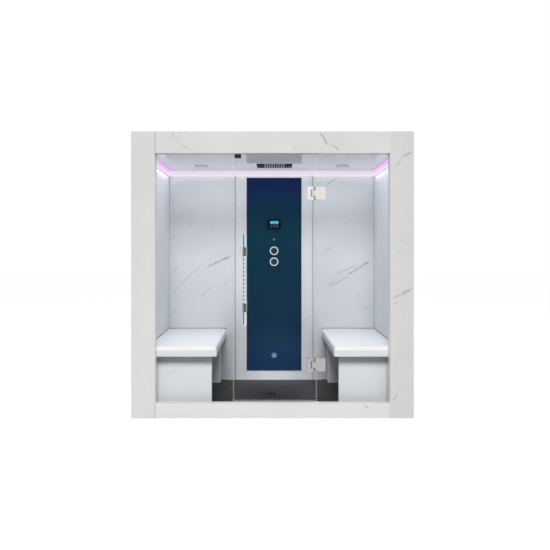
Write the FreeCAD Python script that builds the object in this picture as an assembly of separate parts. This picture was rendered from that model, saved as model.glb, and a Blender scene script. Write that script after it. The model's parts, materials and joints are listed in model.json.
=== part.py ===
import FreeCAD, Part
import math
import os

os.makedirs("parts", exist_ok=True)

# Steam room for two, seen from the front along +Y. Lengths in millimetres.
# The origin is the middle of the footprint, on the ground.

# Whole room
ROOM_WIDTH = 2100.0
ROOM_HEIGHT = 2130.0
ROOM_DEPTH = 1250.0
OVERRUN = 5.0

# Front surround, hollow stone-look cladding
POST_WIDTH = 178.0
HEADER_HEIGHT = 162.0
SILL_HEIGHT = 107.0
SURROUND_DEPTH = 66.0
CLADDING_WALL = 20.0
CLADDING_EDGE_RADIUS = 2.5

# Glass front
GLASS_THICKNESS = 8.0
GLASS_SETBACK = 48.0
GLASS_BITE = 12.0
GASKET_THICKNESS = 3.0
DOORWAY_WIDTH = 625.0
DOORWAY_OFFSET = 13.0
DOOR_LATCH_GAP = 4.5
DOOR_HINGE_GAP = 5.5
DOOR_BOTTOM_GAP = 10.0
DOOR_TOP_GAP = 8.0
SEAL_WALL = 1.0
SEAL_BASE = 1.5
SEAL_LEG = 8.0
WIPER_FIN = 5.0

# Glass-to-glass hinges
HINGE_HEIGHT = 97.0
HINGE_PLATE = 9.0
HINGE_CORNER_RADIUS = 7.0
HINGE_AXIS_INSET = 22.5
HINGE_DOOR_REACH = 45.0
HINGE_FIXED_REACH = 93.0
HINGE_CORE = 24.0
HINGE_TONGUE_HEIGHT = 52.0
HINGE_PLAY = 0.5
HINGE_SWEEP_GAP = 2.5
HINGE_PIN_RADIUS = 5.0
RUNNING_FIT = 0.05
HINGE_CUTOUT_GAP = 1.0
UPPER_HINGE_DROP = 294.0
LOWER_HINGE_RISE = 283.0

# Pull handle on both faces of the door
HANDLE_INSET = 86.5
HANDLE_RISE = 922.0
HANDLE_LENGTH = 690.0
HANDLE_BAR_WIDTH = 30.0
HANDLE_BAR_THICKNESS = 12.0
HANDLE_BAR_RADIUS = 4.0
HANDLE_STANDOFF = 29.0
HANDLE_CLAMP_SPACING = 418.0
HANDLE_CLAMP_HEIGHT = 63.0
HANDLE_CLAMP_LIP = 2.0
HANDLE_SPIGOT_RADIUS = 6.0
HANDLE_HOLE_GAP = 0.5

# Door stop under the header
STOP_LENGTH = 49.0
STOP_DROP = 29.0
STOP_DEPTH = 13.0
STOP_INSET = 2.0
STOP_GAP = 0.5
STOP_EDGE_RADIUS = 4.0

# Walls, roof and floor
SIDE_WALL_THICKNESS = 100.0
REAR_WALL_THICKNESS = 150.0
CEILING_DROP = 150.0
LINING_THICKNESS = 12.0
SKIN_THICKNESS = 6.0
SKIN_RADIUS = 2.0
FRAME_MEMBER = 50.0
SIDE_BAYS = 2
REAR_BAYS = 3
WALL_ROWS = 3
ROOF_ROWS = 2
TRAY_THICKNESS = 28.0
TRAY_FLOOR = 12.0
TRAY_RIB = 20.0
TRAY_BAYS = 3
BOARDS = 3
BOARD_THICKNESS = 12.0
BOARD_JOINT = 5.0
BOARD_EDGE_RADIUS = 1.5

# Waste and grate
WASTE_OFFSET = 10.0
WASTE_RADIUS = 45.0
WASTE_BOSS_WALL = 15.0
GRATE_RIM = 10.0
GRATE_THICKNESS = 6.0
GRATE_GAP = 0.5
GRATE_SLOT_WIDTH = 6.0

# Benches
BENCH_TOP = 517.0
AISLE_WIDTH = 886.0
BENCH_SLAB = 73.0
BENCH_ROUND = 26.0
BENCH_EDGE_RADIUS = 5.0
BENCH_LEG = 40.0
BENCH_LEG_INSET = 44.0
BENCH_FRONT_LEG_BACK = 80.0
BENCH_REAR_LEG_GAP = 75.0

# Column panel and console glass on the back wall
COLUMN_WIDTH = 708.0
COLUMN_OFFSET = 22.0
COLUMN_PROUD = 12.0
CONSOLE_WIDTH = 506.0
CONSOLE_FLOOR_GAP = 91.0
CONSOLE_CEILING_GAP = 68.0
CONSOLE_GLASS = 6.0
CONSOLE_CORNER_RADIUS = 4.0

# Controller with screen and touch keys
CONTROLLER_GAP = 91.0
CONTROLLER_WIDTH = 122.0
CONTROLLER_HEIGHT = 84.0
CONTROLLER_DEPTH = 14.0
CONTROLLER_CORNER_RADIUS = 8.0
CONTROLLER_BORDER = 9.0
CONTROLLER_POCKET = 2.5
SCREEN_RECESS = 0.6
SCREEN_WIDTH = 85.0
SCREEN_HEIGHT = 31.0
CONTROLLER_BAR = 5.0
KEY_RADIUS = 3.6
KEY_RISE = 0.8
KEY_COLUMNS = 6
KEY_ROWS = 2

# Temperature probe
PROBE_GAP = 49.5
PROBE_RADIUS = 10.0
PROBE_RISE = 9.0
PROBE_STEM_RADIUS = 5.0
PROBE_ROUND = 5.0

# Two control knobs with rings, on one valve body behind the column
LOWER_KNOB_Z = 1136.0
KNOB_GAP = 14.0
KNOB_RADIUS = 25.0
KNOB_HEIGHT = 26.0
KNOB_DISH = 3.0
KNOB_EDGE = 4.0
KNOB_FLUTES = 18
KNOB_FLUTE_RADIUS = 2.2
KNOB_LIFT = 1.0
RING_RADIUS = 43.5
RING_HEIGHT = 11.0
RING_GAP = 1.5
RING_ROUND = 5.0
SPINDLE_RADIUS = 5.0
SPINDLE_BITE = 34.0
VALVE_RADIUS = 26.0
VALVE_LENGTH = 58.0
VALVE_NECK_RADIUS = 9.0
VALVE_BRIDGE_WIDTH = 30.0
PORT_RADIUS = 15.0
PORT_LENGTH = 14.0

# Pipes
WATER_PIPE_RADIUS = 11.0
WATER_PIPE_WALL = 1.5
WATER_PIPE_BEND = 34.0
INLET_SPACING = 240.0
INLET_HOLE_GAP = 2.0
RISER_RISE = 66.0
STEAM_PIPE_RADIUS = 14.0
STEAM_PIPE_WALL = 1.5
STEAM_PIPE_BEND = 42.0
CABLE_HOLE_RADIUS = 16.0

# Steam outlet near the floor
OUTLET_RAISE = 140.0
OUTLET_RADIUS = 30.0
OUTLET_RISE = 12.0
OUTLET_BEVEL = 4.0
OUTLET_NECK_RADIUS = 14.0
OUTLET_WALL = 2.5
OUTLET_TAIL = 10.0
OUTLET_SLOTS = 8
OUTLET_SLOT_WIDTH = 3.0

# Steam generator on a rail of the rear frame
GENERATOR_WIDTH = 360.0
GENERATOR_HEIGHT = 300.0
GENERATOR_DEPTH = 104.0
GENERATOR_RADIUS = 10.0
GENERATOR_PORT_RISE = 220.0
GENERATOR_HEADROOM = 68.0
VALVE_HEADROOM = 106.0
STEAM_PIPE_OFFSET = 58.0

# Ceiling fittings
LIGHT_DEPTH = 20.0
LIGHT_DROP = 55.0
LIGHT_WALL = 2.0
DOWNLIGHT_SIDE_GAP = 333.0
DOWNLIGHT_WALL_GAP = 310.0
DOWNLIGHT_RADIUS = 62.0
DOWNLIGHT_FLANGE = 4.0
DOWNLIGHT_CAN_RADIUS = 52.0
DOWNLIGHT_CAN_WALL = 2.0
DOWNLIGHT_CAN_HEIGHT = 45.0
DOWNLIGHT_LENS = 4.0
DOWNLIGHT_LENS_RECESS = 2.0
SHOWER_WALL_GAP = 347.0
SHOWER_WIDTH = 304.0
SHOWER_DEPTH = 190.0
SHOWER_THICKNESS = 9.0
SHOWER_CORNER_RADIUS = 12.0
SHOWER_BOSS_RADIUS = 18.0
SHOWER_BOSS_HEIGHT = 24.0
NOZZLE_PLATE_WIDTH = 190.0
NOZZLE_PLATE_DEPTH = 150.0
NOZZLE_PLATE = 3.0
FITTING_GAP = 0.5

# Shares of the piece that carries them
KEY_FIELD_SHARE = 0.84
OUTLET_SLOT_SHARES = (0.35, 0.95)
LIGHT_BULGE_SHARE = 0.6

# Faces and planes that follow from the sizes
HALF_WIDTH = ROOM_WIDTH / 2
FRONT_Y = -ROOM_DEPTH / 2
REAR_Y = ROOM_DEPTH / 2
SURROUND_BACK_Y = FRONT_Y + SURROUND_DEPTH
GLASS_Y = FRONT_Y + GLASS_SETBACK
POST_INNER_X = HALF_WIDTH - POST_WIDTH
HEADER_Z = ROOM_HEIGHT - HEADER_HEIGHT
CEILING_Z = ROOM_HEIGHT - CEILING_DROP
INNER_X = HALF_WIDTH - SIDE_WALL_THICKNESS
BACK_WALL_Y = REAR_Y - REAR_WALL_THICKNESS
LINING_BACK_X = INNER_X + LINING_THICKNESS
LINING_BACK_Y = BACK_WALL_Y + LINING_THICKNESS
COVER_Y = REAR_Y - SKIN_THICKNESS
SKIN_X = HALF_WIDTH - SKIN_THICKNESS
ROOF_Z = ROOM_HEIGHT - SKIN_THICKNESS
FLOOR_Z = TRAY_THICKNESS + BOARD_THICKNESS
COLUMN_Y = BACK_WALL_Y - COLUMN_PROUD
CONSOLE_Y = COLUMN_Y - CONSOLE_GLASS
COLUMN_TOP = CEILING_Z - LIGHT_DROP
CONSOLE_BOTTOM = FLOOR_Z + CONSOLE_FLOOR_GAP
CONSOLE_TOP = CEILING_Z - CONSOLE_CEILING_GAP
OUTLET_Z = CONSOLE_BOTTOM + OUTLET_RAISE
UPPER_KNOB_Z = LOWER_KNOB_Z + RING_RADIUS * 2 + KNOB_GAP
PROBE_Z = UPPER_KNOB_Z + RING_RADIUS + PROBE_GAP + PROBE_RADIUS
CONTROLLER_Z = PROBE_Z + PROBE_RADIUS + CONTROLLER_GAP + CONTROLLER_HEIGHT / 2
PIPE_Y = (LINING_BACK_Y + COVER_Y) / 2
WASTE_Y = (SURROUND_BACK_Y + BACK_WALL_Y) / 2 - WASTE_OFFSET
SHOWER_Y = BACK_WALL_Y - SHOWER_WALL_GAP
DOWNLIGHT_X = INNER_X - DOWNLIGHT_SIDE_GAP
DOWNLIGHT_Y = BACK_WALL_Y - DOWNLIGHT_WALL_GAP
LEFT_GLASS_X = DOORWAY_OFFSET - DOORWAY_WIDTH / 2
RIGHT_GLASS_X = DOORWAY_OFFSET + DOORWAY_WIDTH / 2
DOOR_LEFT_X = LEFT_GLASS_X + DOOR_LATCH_GAP
DOOR_RIGHT_X = RIGHT_GLASS_X - DOOR_HINGE_GAP
DOOR_BOTTOM_Z = SILL_HEIGHT + DOOR_BOTTOM_GAP
DOOR_TOP_Z = HEADER_Z - DOOR_TOP_GAP
HINGE_X = RIGHT_GLASS_X - HINGE_AXIS_INSET
HINGE_HALF = GLASS_THICKNESS / 2 + HINGE_PLATE
HINGE_CLEAR = HINGE_HALF + HINGE_SWEEP_GAP
HINGE_CENTRES = (SILL_HEIGHT + LOWER_HINGE_RISE, HEADER_Z - UPPER_HINGE_DROP)
GLASS_FRONT_Y = GLASS_Y - GLASS_THICKNESS / 2
GLASS_BACK_Y = GLASS_Y + GLASS_THICKNESS / 2
HANDLE_X = DOOR_LEFT_X + HANDLE_INSET
HANDLE_Z = SILL_HEIGHT + HANDLE_RISE


def block(x_span, y_span, z_span):
    """Box between pairs of limits."""
    corner = FreeCAD.Vector(x_span[0], y_span[0], z_span[0])
    width = x_span[1] - x_span[0]
    depth = y_span[1] - y_span[0]
    height = z_span[1] - z_span[0]
    return Part.makeBox(width, depth, height, corner)


def on_column(width):
    """Limits of a width that is centred on the column."""
    return (COLUMN_OFFSET - width / 2, COLUMN_OFFSET + width / 2)


def level_rod(x, z, radius, y_span):
    """Round rod along Y."""
    start = FreeCAD.Vector(x, y_span[0], z)
    return Part.makeCylinder(radius, y_span[1] - y_span[0], start, FreeCAD.Vector(0, 1, 0))


def upright_rod(x, y, radius, z_span):
    """Round rod along Z."""
    start = FreeCAD.Vector(x, y, z_span[0])
    return Part.makeCylinder(radius, z_span[1] - z_span[0], start)


def spun(profile, centre, axis):
    """Solid of revolution of (radius, travel) points about an axis through the centre."""
    outward = FreeCAD.Vector(1, 0, 0)
    points = [centre + outward * radius + axis * travel for radius, travel in profile]
    face = Part.Face(Part.makePolygon(points + [points[0]]))
    return face.revolve(centre, axis, 360)


def edges_along(shape, axis):
    """Straight edges of a shape that run along an axis."""
    chosen = []
    for edge in shape.Edges:
        run = edge.Vertexes[-1].Point - edge.Vertexes[0].Point
        if run.Length > 0 and abs(run.normalize().dot(axis)) > math.cos(math.radians(1)):
            chosen.append(edge)
    return chosen


ALONG_X = FreeCAD.Vector(1, 0, 0)
ALONG_Y = FreeCAD.Vector(0, 1, 0)
ALONG_Z = FreeCAD.Vector(0, 0, 1)


def softened(shape, radius, axis, wanted=None):
    """Round the edges along an axis, or those whose middle passes a test."""
    edges = edges_along(shape, axis)
    if wanted is not None:
        edges = [edge for edge in edges if wanted(edge.CenterOfMass)]
    return shape.makeFillet(radius, edges)


def lattice(spans, through, bays, rows, member):
    """Frame of members round equal bays that are open along one axis."""
    frame = block(*spans)
    across, along = [axis for axis in range(len(spans)) if axis != through]
    counts = {across: bays, along: rows}
    steps = {}
    for axis in (across, along):
        low, high = spans[axis]
        steps[axis] = (high - low - member) / counts[axis]
    windows = []
    for bay in range(bays):
        for row in range(rows):
            window = [None] * len(spans)
            window[through] = (spans[through][0] - OVERRUN, spans[through][1] + OVERRUN)
            for axis, index in ((across, bay), (along, row)):
                start = spans[axis][0] + member + steps[axis] * index
                window[axis] = (start, start + steps[axis] - member)
            windows.append(block(*window))
    return frame.cut(windows)


def pipe_path(points, bend):
    """Wire of straight runs joined by tangent bends."""
    edges = []
    last = points[0]
    for before, corner, after in zip(points, points[1:], points[2:]):
        into = (corner - before).normalize()
        out = (after - corner).normalize()
        turn = into.getAngle(out)
        setback = bend * math.tan(turn / 2)
        start = corner - into * setback
        end = corner + out * setback
        inward = (out - into).normalize()
        middle = corner + inward * (bend / math.cos(turn / 2) - bend)
        edges.append(Part.makeLine(last, start))
        edges.append(Part.Arc(start, middle, end).toShape())
        last = end
    edges.append(Part.makeLine(last, points[-1]))
    return Part.Wire(edges)


def swept(points, bend, radius):
    """Round solid along a pipe path."""
    heading = (points[1] - points[0]).normalize()
    circle = Part.Wire(Part.makeCircle(radius, points[0], heading))
    return pipe_path(points, bend).makePipeShell([circle], True, False)


def tube(points, bend, radius, wall):
    """Hollow pipe along a path."""
    return swept(points, bend, radius).cut(swept(points, bend, radius - wall))


def save(name, *solids):
    """Write one node with its separate solids."""
    shape = solids[0] if len(solids) == 1 else Part.makeCompound(solids)
    shape.exportStep("parts/" + name + ".step")


# Front surround
def glass_slot(x_span, z_span):
    """Slot for a glass edge and its gasket."""
    half = GLASS_THICKNESS / 2 + GASKET_THICKNESS
    return block(x_span, (GLASS_Y - half, GLASS_Y + half), z_span)


SLOT_DEPTH = GLASS_BITE + GASKET_THICKNESS
SLOT_Z_SPAN = (SILL_HEIGHT - SLOT_DEPTH, HEADER_Z + SLOT_DEPTH)
SURROUND_Y_SPAN = (FRONT_Y, SURROUND_BACK_Y)
HOLLOW_Y_SPAN = (FRONT_Y + CLADDING_WALL, SURROUND_BACK_Y - CLADDING_WALL)


def front_post(side):
    """Full-height hollow post, open below, with the glass slot on its inner face."""
    limits = sorted((side * POST_INNER_X, side * HALF_WIDTH))
    hollow = (limits[0] + CLADDING_WALL, limits[1] - CLADDING_WALL)
    post = block(limits, SURROUND_Y_SPAN, (0, ROOM_HEIGHT))
    post = softened(post, CLADDING_EDGE_RADIUS, ALONG_Z, lambda middle: middle.y < GLASS_Y)
    void = block(hollow, HOLLOW_Y_SPAN, (-OVERRUN, ROOM_HEIGHT - CLADDING_WALL))
    slot = sorted((side * POST_INNER_X, side * (POST_INNER_X + SLOT_DEPTH)))
    return post.cut([void, glass_slot(slot, SLOT_Z_SPAN)])


save("left_front_post", front_post(-1))
save("right_front_post", front_post(1))

LEFT_SLOT_X = (-POST_INNER_X, LEFT_GLASS_X)
RIGHT_SLOT_X = (RIGHT_GLASS_X, POST_INNER_X)
RAIL_X_SPAN = (-POST_INNER_X, POST_INNER_X)
RAIL_VOID_X_SPAN = (-POST_INNER_X - OVERRUN, POST_INNER_X + OVERRUN)

header = block(RAIL_X_SPAN, SURROUND_Y_SPAN, (HEADER_Z, ROOM_HEIGHT))
header = softened(header, CLADDING_EDGE_RADIUS, ALONG_X, lambda middle: middle.y < GLASS_Y)
header_void_z = (HEADER_Z + CLADDING_WALL, ROOM_HEIGHT - CLADDING_WALL)
header_cuts = [block(RAIL_VOID_X_SPAN, HOLLOW_Y_SPAN, header_void_z)]
header_slot_z = (HEADER_Z, HEADER_Z + SLOT_DEPTH)
header_cuts.append(glass_slot(LEFT_SLOT_X, header_slot_z))
header_cuts.append(glass_slot(RIGHT_SLOT_X, header_slot_z))
save("front_header", header.cut(header_cuts))

sill = block(RAIL_X_SPAN, SURROUND_Y_SPAN, (0, SILL_HEIGHT))
sill = softened(sill, CLADDING_EDGE_RADIUS, ALONG_X, lambda middle: middle.y < GLASS_Y and middle.z > 0)
sill_cuts = [block(RAIL_VOID_X_SPAN, HOLLOW_Y_SPAN, (-OVERRUN, SILL_HEIGHT - CLADDING_WALL))]
sill_slot_z = (SILL_HEIGHT - SLOT_DEPTH, SILL_HEIGHT)
sill_cuts.append(glass_slot(LEFT_SLOT_X, sill_slot_z))
sill_cuts.append(glass_slot(RIGHT_SLOT_X, sill_slot_z))
save("front_sill", sill.cut(sill_cuts))

# Fixed glass panes and their gaskets
GLASS_Y_SPAN = (GLASS_FRONT_Y, GLASS_BACK_Y)
PANE_Z_SPAN = (SILL_HEIGHT - GLASS_BITE, HEADER_Z + GLASS_BITE)
PANE_END_X = POST_INNER_X + GLASS_BITE
left_pane = block((-PANE_END_X, LEFT_GLASS_X), GLASS_Y_SPAN, PANE_Z_SPAN)
right_pane = block((RIGHT_GLASS_X, PANE_END_X), GLASS_Y_SPAN, PANE_Z_SPAN)
save("left_fixed_glass", left_pane)
save("right_fixed_glass", right_pane)


def pane_gasket(pane, rail_x, post_x):
    """Channel gasket round the three edges of a pane that sit in the cladding."""
    width = (min(rail_x + post_x), max(rail_x + post_x))
    upper = glass_slot(width, header_slot_z)
    lower = glass_slot(width, sill_slot_z)
    side = glass_slot(post_x, SLOT_Z_SPAN)
    return side.fuse([upper, lower]).removeSplitter().cut(pane)


SLOT_END_X = POST_INNER_X + SLOT_DEPTH
left_gasket = pane_gasket(left_pane, LEFT_SLOT_X, (-SLOT_END_X, -POST_INNER_X))
right_gasket = pane_gasket(right_pane, RIGHT_SLOT_X, (POST_INNER_X, SLOT_END_X))


def edge_seal(edge_x, inward, z_span):
    """Clip-on channel over an upright glass edge, with its base outside the edge."""
    outside = edge_x - inward * SEAL_BASE
    inside = edge_x + inward * SEAL_LEG
    channel = block(
        sorted((outside, inside)),
        (GLASS_FRONT_Y - SEAL_WALL, GLASS_BACK_Y + SEAL_WALL),
        z_span,
    )
    groove_end = inside + inward * OVERRUN
    return channel.cut(block(sorted((edge_x, groove_end)), GLASS_Y_SPAN, z_span))


def hinge_side_seals():
    """Seals on the fixed glass edge below, between and above the hinges."""
    reach = HINGE_HEIGHT / 2 + HINGE_PLAY
    breaks = [SILL_HEIGHT]
    for centre in HINGE_CENTRES:
        breaks += [centre - reach, centre + reach]
    breaks.append(HEADER_Z)
    spans = zip(breaks[0::2], breaks[1::2])
    return [edge_seal(RIGHT_GLASS_X, 1, span) for span in spans]


save("glass_seals", left_gasket, right_gasket, *hinge_side_seals())


# Hinges
def hinge_plate(x_span, y_span, z_span, outer_x):
    """Clamp plate with round corners on its outer side."""
    plate = block(x_span, y_span, z_span)
    return softened(plate, HINGE_CORNER_RADIUS, ALONG_Y, lambda middle: abs(middle.x - outer_x) < HINGE_PLAY)


FRONT_PLATE_Y = (GLASS_Y - HINGE_HALF, GLASS_FRONT_Y)
BACK_PLATE_Y = (GLASS_BACK_Y, GLASS_Y + HINGE_HALF)
HINGE_Y_SPAN = (GLASS_Y - HINGE_HALF, GLASS_Y + HINGE_HALF)


def fixed_leaf(centre):
    """Leaf on the fixed pane: front plate, edge web and the tongue that carries the pin."""
    z_span = (centre - HINGE_HEIGHT / 2, centre + HINGE_HEIGHT / 2)
    tongue_z = (centre - HINGE_TONGUE_HEIGHT / 2, centre + HINGE_TONGUE_HEIGHT / 2)
    web_x = (HINGE_X + HINGE_CLEAR, RIGHT_GLASS_X - HINGE_CUTOUT_GAP)
    outer_x = HINGE_X + HINGE_FIXED_REACH
    plate = hinge_plate((web_x[0], outer_x), FRONT_PLATE_Y, z_span, outer_x)
    web = block(web_x, HINGE_Y_SPAN, z_span)
    arm = block((HINGE_X, web_x[1]), HINGE_Y_SPAN, tongue_z)
    barrel = upright_rod(HINGE_X, GLASS_Y, HINGE_HALF, tongue_z)
    leaf = plate.fuse([web, arm, barrel]).removeSplitter()
    return leaf.cut(upright_rod(HINGE_X, GLASS_Y, HINGE_PIN_RADIUS + RUNNING_FIT, z_span))


def fixed_clamp(centre):
    """Plate behind the fixed pane, against the web of the leaf."""
    z_span = (centre - HINGE_HEIGHT / 2, centre + HINGE_HEIGHT / 2)
    outer_x = HINGE_X + HINGE_FIXED_REACH
    return hinge_plate((RIGHT_GLASS_X - HINGE_CUTOUT_GAP, outer_x), BACK_PLATE_Y, z_span, outer_x)


def door_leaf(centre):
    """Leaf on the door: front plate, core in the glass cut-out and two ears on the pin."""
    z_span = (centre - HINGE_HEIGHT / 2, centre + HINGE_HEIGHT / 2)
    core_x = HINGE_X - HINGE_CORE
    outer_x = HINGE_X - HINGE_DOOR_REACH
    plate = hinge_plate((outer_x, core_x), FRONT_PLATE_Y, z_span, outer_x)
    core = block((core_x, HINGE_X), HINGE_Y_SPAN, z_span)
    barrel = upright_rod(HINGE_X, GLASS_Y, HINGE_HALF, z_span)
    leaf = plate.fuse([core, barrel]).removeSplitter()
    half = HINGE_TONGUE_HEIGHT / 2 + HINGE_PLAY
    notch = block(
        (HINGE_X - HINGE_CLEAR, HINGE_X + HINGE_CLEAR),
        (HINGE_Y_SPAN[0] - OVERRUN, HINGE_Y_SPAN[1] + OVERRUN),
        (centre - half, centre + half),
    )
    bore = upright_rod(HINGE_X, GLASS_Y, HINGE_PIN_RADIUS + RUNNING_FIT, z_span)
    return leaf.cut([notch, bore])


def door_clamp(centre):
    """Plate behind the door glass, against the core of the leaf."""
    z_span = (centre - HINGE_HEIGHT / 2, centre + HINGE_HEIGHT / 2)
    outer_x = HINGE_X - HINGE_DOOR_REACH
    return hinge_plate((outer_x, HINGE_X - HINGE_CORE), BACK_PLATE_Y, z_span, outer_x)


def hinge_pin(centre):
    """Pin through both ears and the tongue."""
    z_span = (centre - HINGE_HEIGHT / 2, centre + HINGE_HEIGHT / 2)
    return upright_rod(HINGE_X, GLASS_Y, HINGE_PIN_RADIUS, z_span)


save("hinge_fixed_leaves", *[fixed_leaf(centre) for centre in HINGE_CENTRES])
save("hinge_fixed_clamps", *[fixed_clamp(centre) for centre in HINGE_CENTRES])
save("hinge_door_leaves", *[door_leaf(centre) for centre in HINGE_CENTRES])
save("hinge_door_clamps", *[door_clamp(centre) for centre in HINGE_CENTRES])
save("hinge_pins", *[hinge_pin(centre) for centre in HINGE_CENTRES])

# Door
CLAMP_CENTRES = (HANDLE_Z - HANDLE_CLAMP_SPACING / 2, HANDLE_Z + HANDLE_CLAMP_SPACING / 2)


def door_pane():
    """Door glass with cut-outs for the hinge cores and holes for the handle."""
    pane = block((DOOR_LEFT_X, DOOR_RIGHT_X), GLASS_Y_SPAN, (DOOR_BOTTOM_Z, DOOR_TOP_Z))
    deep = (GLASS_FRONT_Y - OVERRUN, GLASS_BACK_Y + OVERRUN)
    cuts = []
    for centre in HINGE_CENTRES:
        half = HINGE_HEIGHT / 2 + HINGE_CUTOUT_GAP
        x_span = (HINGE_X - HINGE_CORE - HINGE_CUTOUT_GAP, DOOR_RIGHT_X + OVERRUN)
        cuts.append(block(x_span, deep, (centre - half, centre + half)))
    for centre in CLAMP_CENTRES:
        cuts.append(level_rod(HANDLE_X, centre, HANDLE_SPIGOT_RADIUS + HANDLE_HOLE_GAP, deep))
    return pane.cut(cuts)


def door_wiper():
    """Channel over the lower glass edge with a fin towards the sill."""
    x_span = (DOOR_LEFT_X + SEAL_LEG, DOOR_RIGHT_X)
    channel = block(
        x_span,
        (GLASS_FRONT_Y - SEAL_WALL, GLASS_BACK_Y + SEAL_WALL),
        (DOOR_BOTTOM_Z - SEAL_BASE, DOOR_BOTTOM_Z + SEAL_LEG),
    )
    groove = block(x_span, GLASS_Y_SPAN, (DOOR_BOTTOM_Z, DOOR_BOTTOM_Z + SEAL_LEG))
    fin_z = (DOOR_BOTTOM_Z - SEAL_BASE - WIPER_FIN, DOOR_BOTTOM_Z - SEAL_BASE)
    fin = block(x_span, (GLASS_Y - SEAL_WALL / 2, GLASS_Y + SEAL_WALL / 2), fin_z)
    return channel.cut(groove).fuse(fin).removeSplitter()


save("door_glass", door_pane())
save("door_seals", edge_seal(DOOR_LEFT_X, 1, (DOOR_BOTTOM_Z, DOOR_TOP_Z)), door_wiper())


# Pull handle
def handle_y(face_y, side, near, far):
    """Limits of a handle piece measured out from a face of the glass."""
    return sorted((face_y + side * near, face_y + side * far))


BAR_FAR = HANDLE_STANDOFF + HANDLE_BAR_THICKNESS
BAR_X_SPAN = (HANDLE_X - HANDLE_BAR_WIDTH / 2, HANDLE_X + HANDLE_BAR_WIDTH / 2)


def handle_bar(face_y, side):
    """Flat bar with round long edges."""
    z_span = (HANDLE_Z - HANDLE_LENGTH / 2, HANDLE_Z + HANDLE_LENGTH / 2)
    bar = block(BAR_X_SPAN, handle_y(face_y, side, HANDLE_STANDOFF, BAR_FAR), z_span)
    return softened(bar, HANDLE_BAR_RADIUS, ALONG_Z)


def handle_clamp(face_y, side, centre, bar):
    """Block from the glass round the bar."""
    z_span = (centre - HANDLE_CLAMP_HEIGHT / 2, centre + HANDLE_CLAMP_HEIGHT / 2)
    x_span = (BAR_X_SPAN[0] - HANDLE_CLAMP_LIP, BAR_X_SPAN[1] + HANDLE_CLAMP_LIP)
    clamp = block(x_span, handle_y(face_y, side, 0, BAR_FAR + HANDLE_CLAMP_LIP), z_span)
    clamp = softened(clamp, HANDLE_CLAMP_LIP, ALONG_Z)
    return clamp.cut(bar)


outer_bar = handle_bar(GLASS_FRONT_Y, -1)
inner_bar = handle_bar(GLASS_BACK_Y, 1)
clamps = []
for centre in CLAMP_CENTRES:
    spigot = level_rod(HANDLE_X, centre, HANDLE_SPIGOT_RADIUS, GLASS_Y_SPAN)
    outer_clamp = handle_clamp(GLASS_FRONT_Y, -1, centre, outer_bar)
    clamps.append(outer_clamp.fuse(spigot).removeSplitter())
    clamps.append(handle_clamp(GLASS_BACK_Y, 1, centre, inner_bar))
save("outer_handle_bar", outer_bar)
save("inner_handle_bar", inner_bar)
save("handle_clamps", *clamps)

# Door stop, behind the closed door under the header
stop_start = DOOR_LEFT_X + SEAL_LEG + STOP_INSET
stop_x = (stop_start, stop_start + STOP_LENGTH)
stop_y = (GLASS_BACK_Y + STOP_GAP, GLASS_BACK_Y + STOP_GAP + STOP_DEPTH)
stop = block(stop_x, stop_y, (HEADER_Z - STOP_DROP, HEADER_Z))
save("door_stop", softened(stop, STOP_EDGE_RADIUS, ALONG_Y, lambda middle: middle.z < HEADER_Z - STOP_DROP / 2))

# Floor tray, boards and grate
TRAY_X_SPAN = (-LINING_BACK_X, LINING_BACK_X)
TRAY_Y_SPAN = (SURROUND_BACK_Y, LINING_BACK_Y)
tray = block(TRAY_X_SPAN, TRAY_Y_SPAN, (0, TRAY_FLOOR))
tray_ribs = lattice((TRAY_X_SPAN, TRAY_Y_SPAN, (TRAY_FLOOR, TRAY_THICKNESS)), 2, TRAY_BAYS, BOARDS, TRAY_RIB)
waste_boss = upright_rod(0, WASTE_Y, WASTE_RADIUS + WASTE_BOSS_WALL, (TRAY_FLOOR, TRAY_THICKNESS))
waste_hole = upright_rod(0, WASTE_Y, WASTE_RADIUS, (-OVERRUN, FLOOR_Z + OVERRUN))
tray = tray.fuse([tray_ribs, waste_boss]).removeSplitter().cut(waste_hole)
save("floor_tray", tray)

GRATE_SEAT_RADIUS = WASTE_RADIUS + GRATE_RIM
grate_seat = upright_rod(0, WASTE_Y, GRATE_SEAT_RADIUS, (FLOOR_Z - GRATE_THICKNESS, FLOOR_Z + OVERRUN))
board_pitch = (BACK_WALL_Y - SURROUND_BACK_Y + BOARD_JOINT) / BOARDS
for index, name in enumerate(("front_floor_board", "middle_floor_board", "rear_floor_board")):
    start = SURROUND_BACK_Y + board_pitch * index
    board = block((-INNER_X, INNER_X), (start, start + board_pitch - BOARD_JOINT), (TRAY_THICKNESS, FLOOR_Z))
    board = softened(board, BOARD_EDGE_RADIUS, ALONG_X, lambda middle: middle.z > TRAY_THICKNESS)
    save(name, board.cut([waste_hole, grate_seat]))


def drain_grate():
    """Round grate with parallel slots, flush with the boards."""
    z_span = (FLOOR_Z - GRATE_THICKNESS, FLOOR_Z)
    disc = upright_rod(0, WASTE_Y, GRATE_SEAT_RADIUS - GRATE_GAP, z_span)
    reach = WASTE_RADIUS - GRATE_SLOT_WIDTH
    pitch = GRATE_SLOT_WIDTH * 2
    count = int(reach / pitch)
    slots = []
    for index in range(-count, count + 1):
        middle = WASTE_Y + pitch * index
        half = math.sqrt(reach ** 2 - (pitch * index) ** 2)
        y_span = (middle - GRATE_SLOT_WIDTH / 2, middle + GRATE_SLOT_WIDTH / 2)
        slots.append(block((-half, half), y_span, (z_span[0] - OVERRUN, z_span[1] + OVERRUN)))
    return disc.cut(slots)


save("drain_grate", drain_grate())

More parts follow.
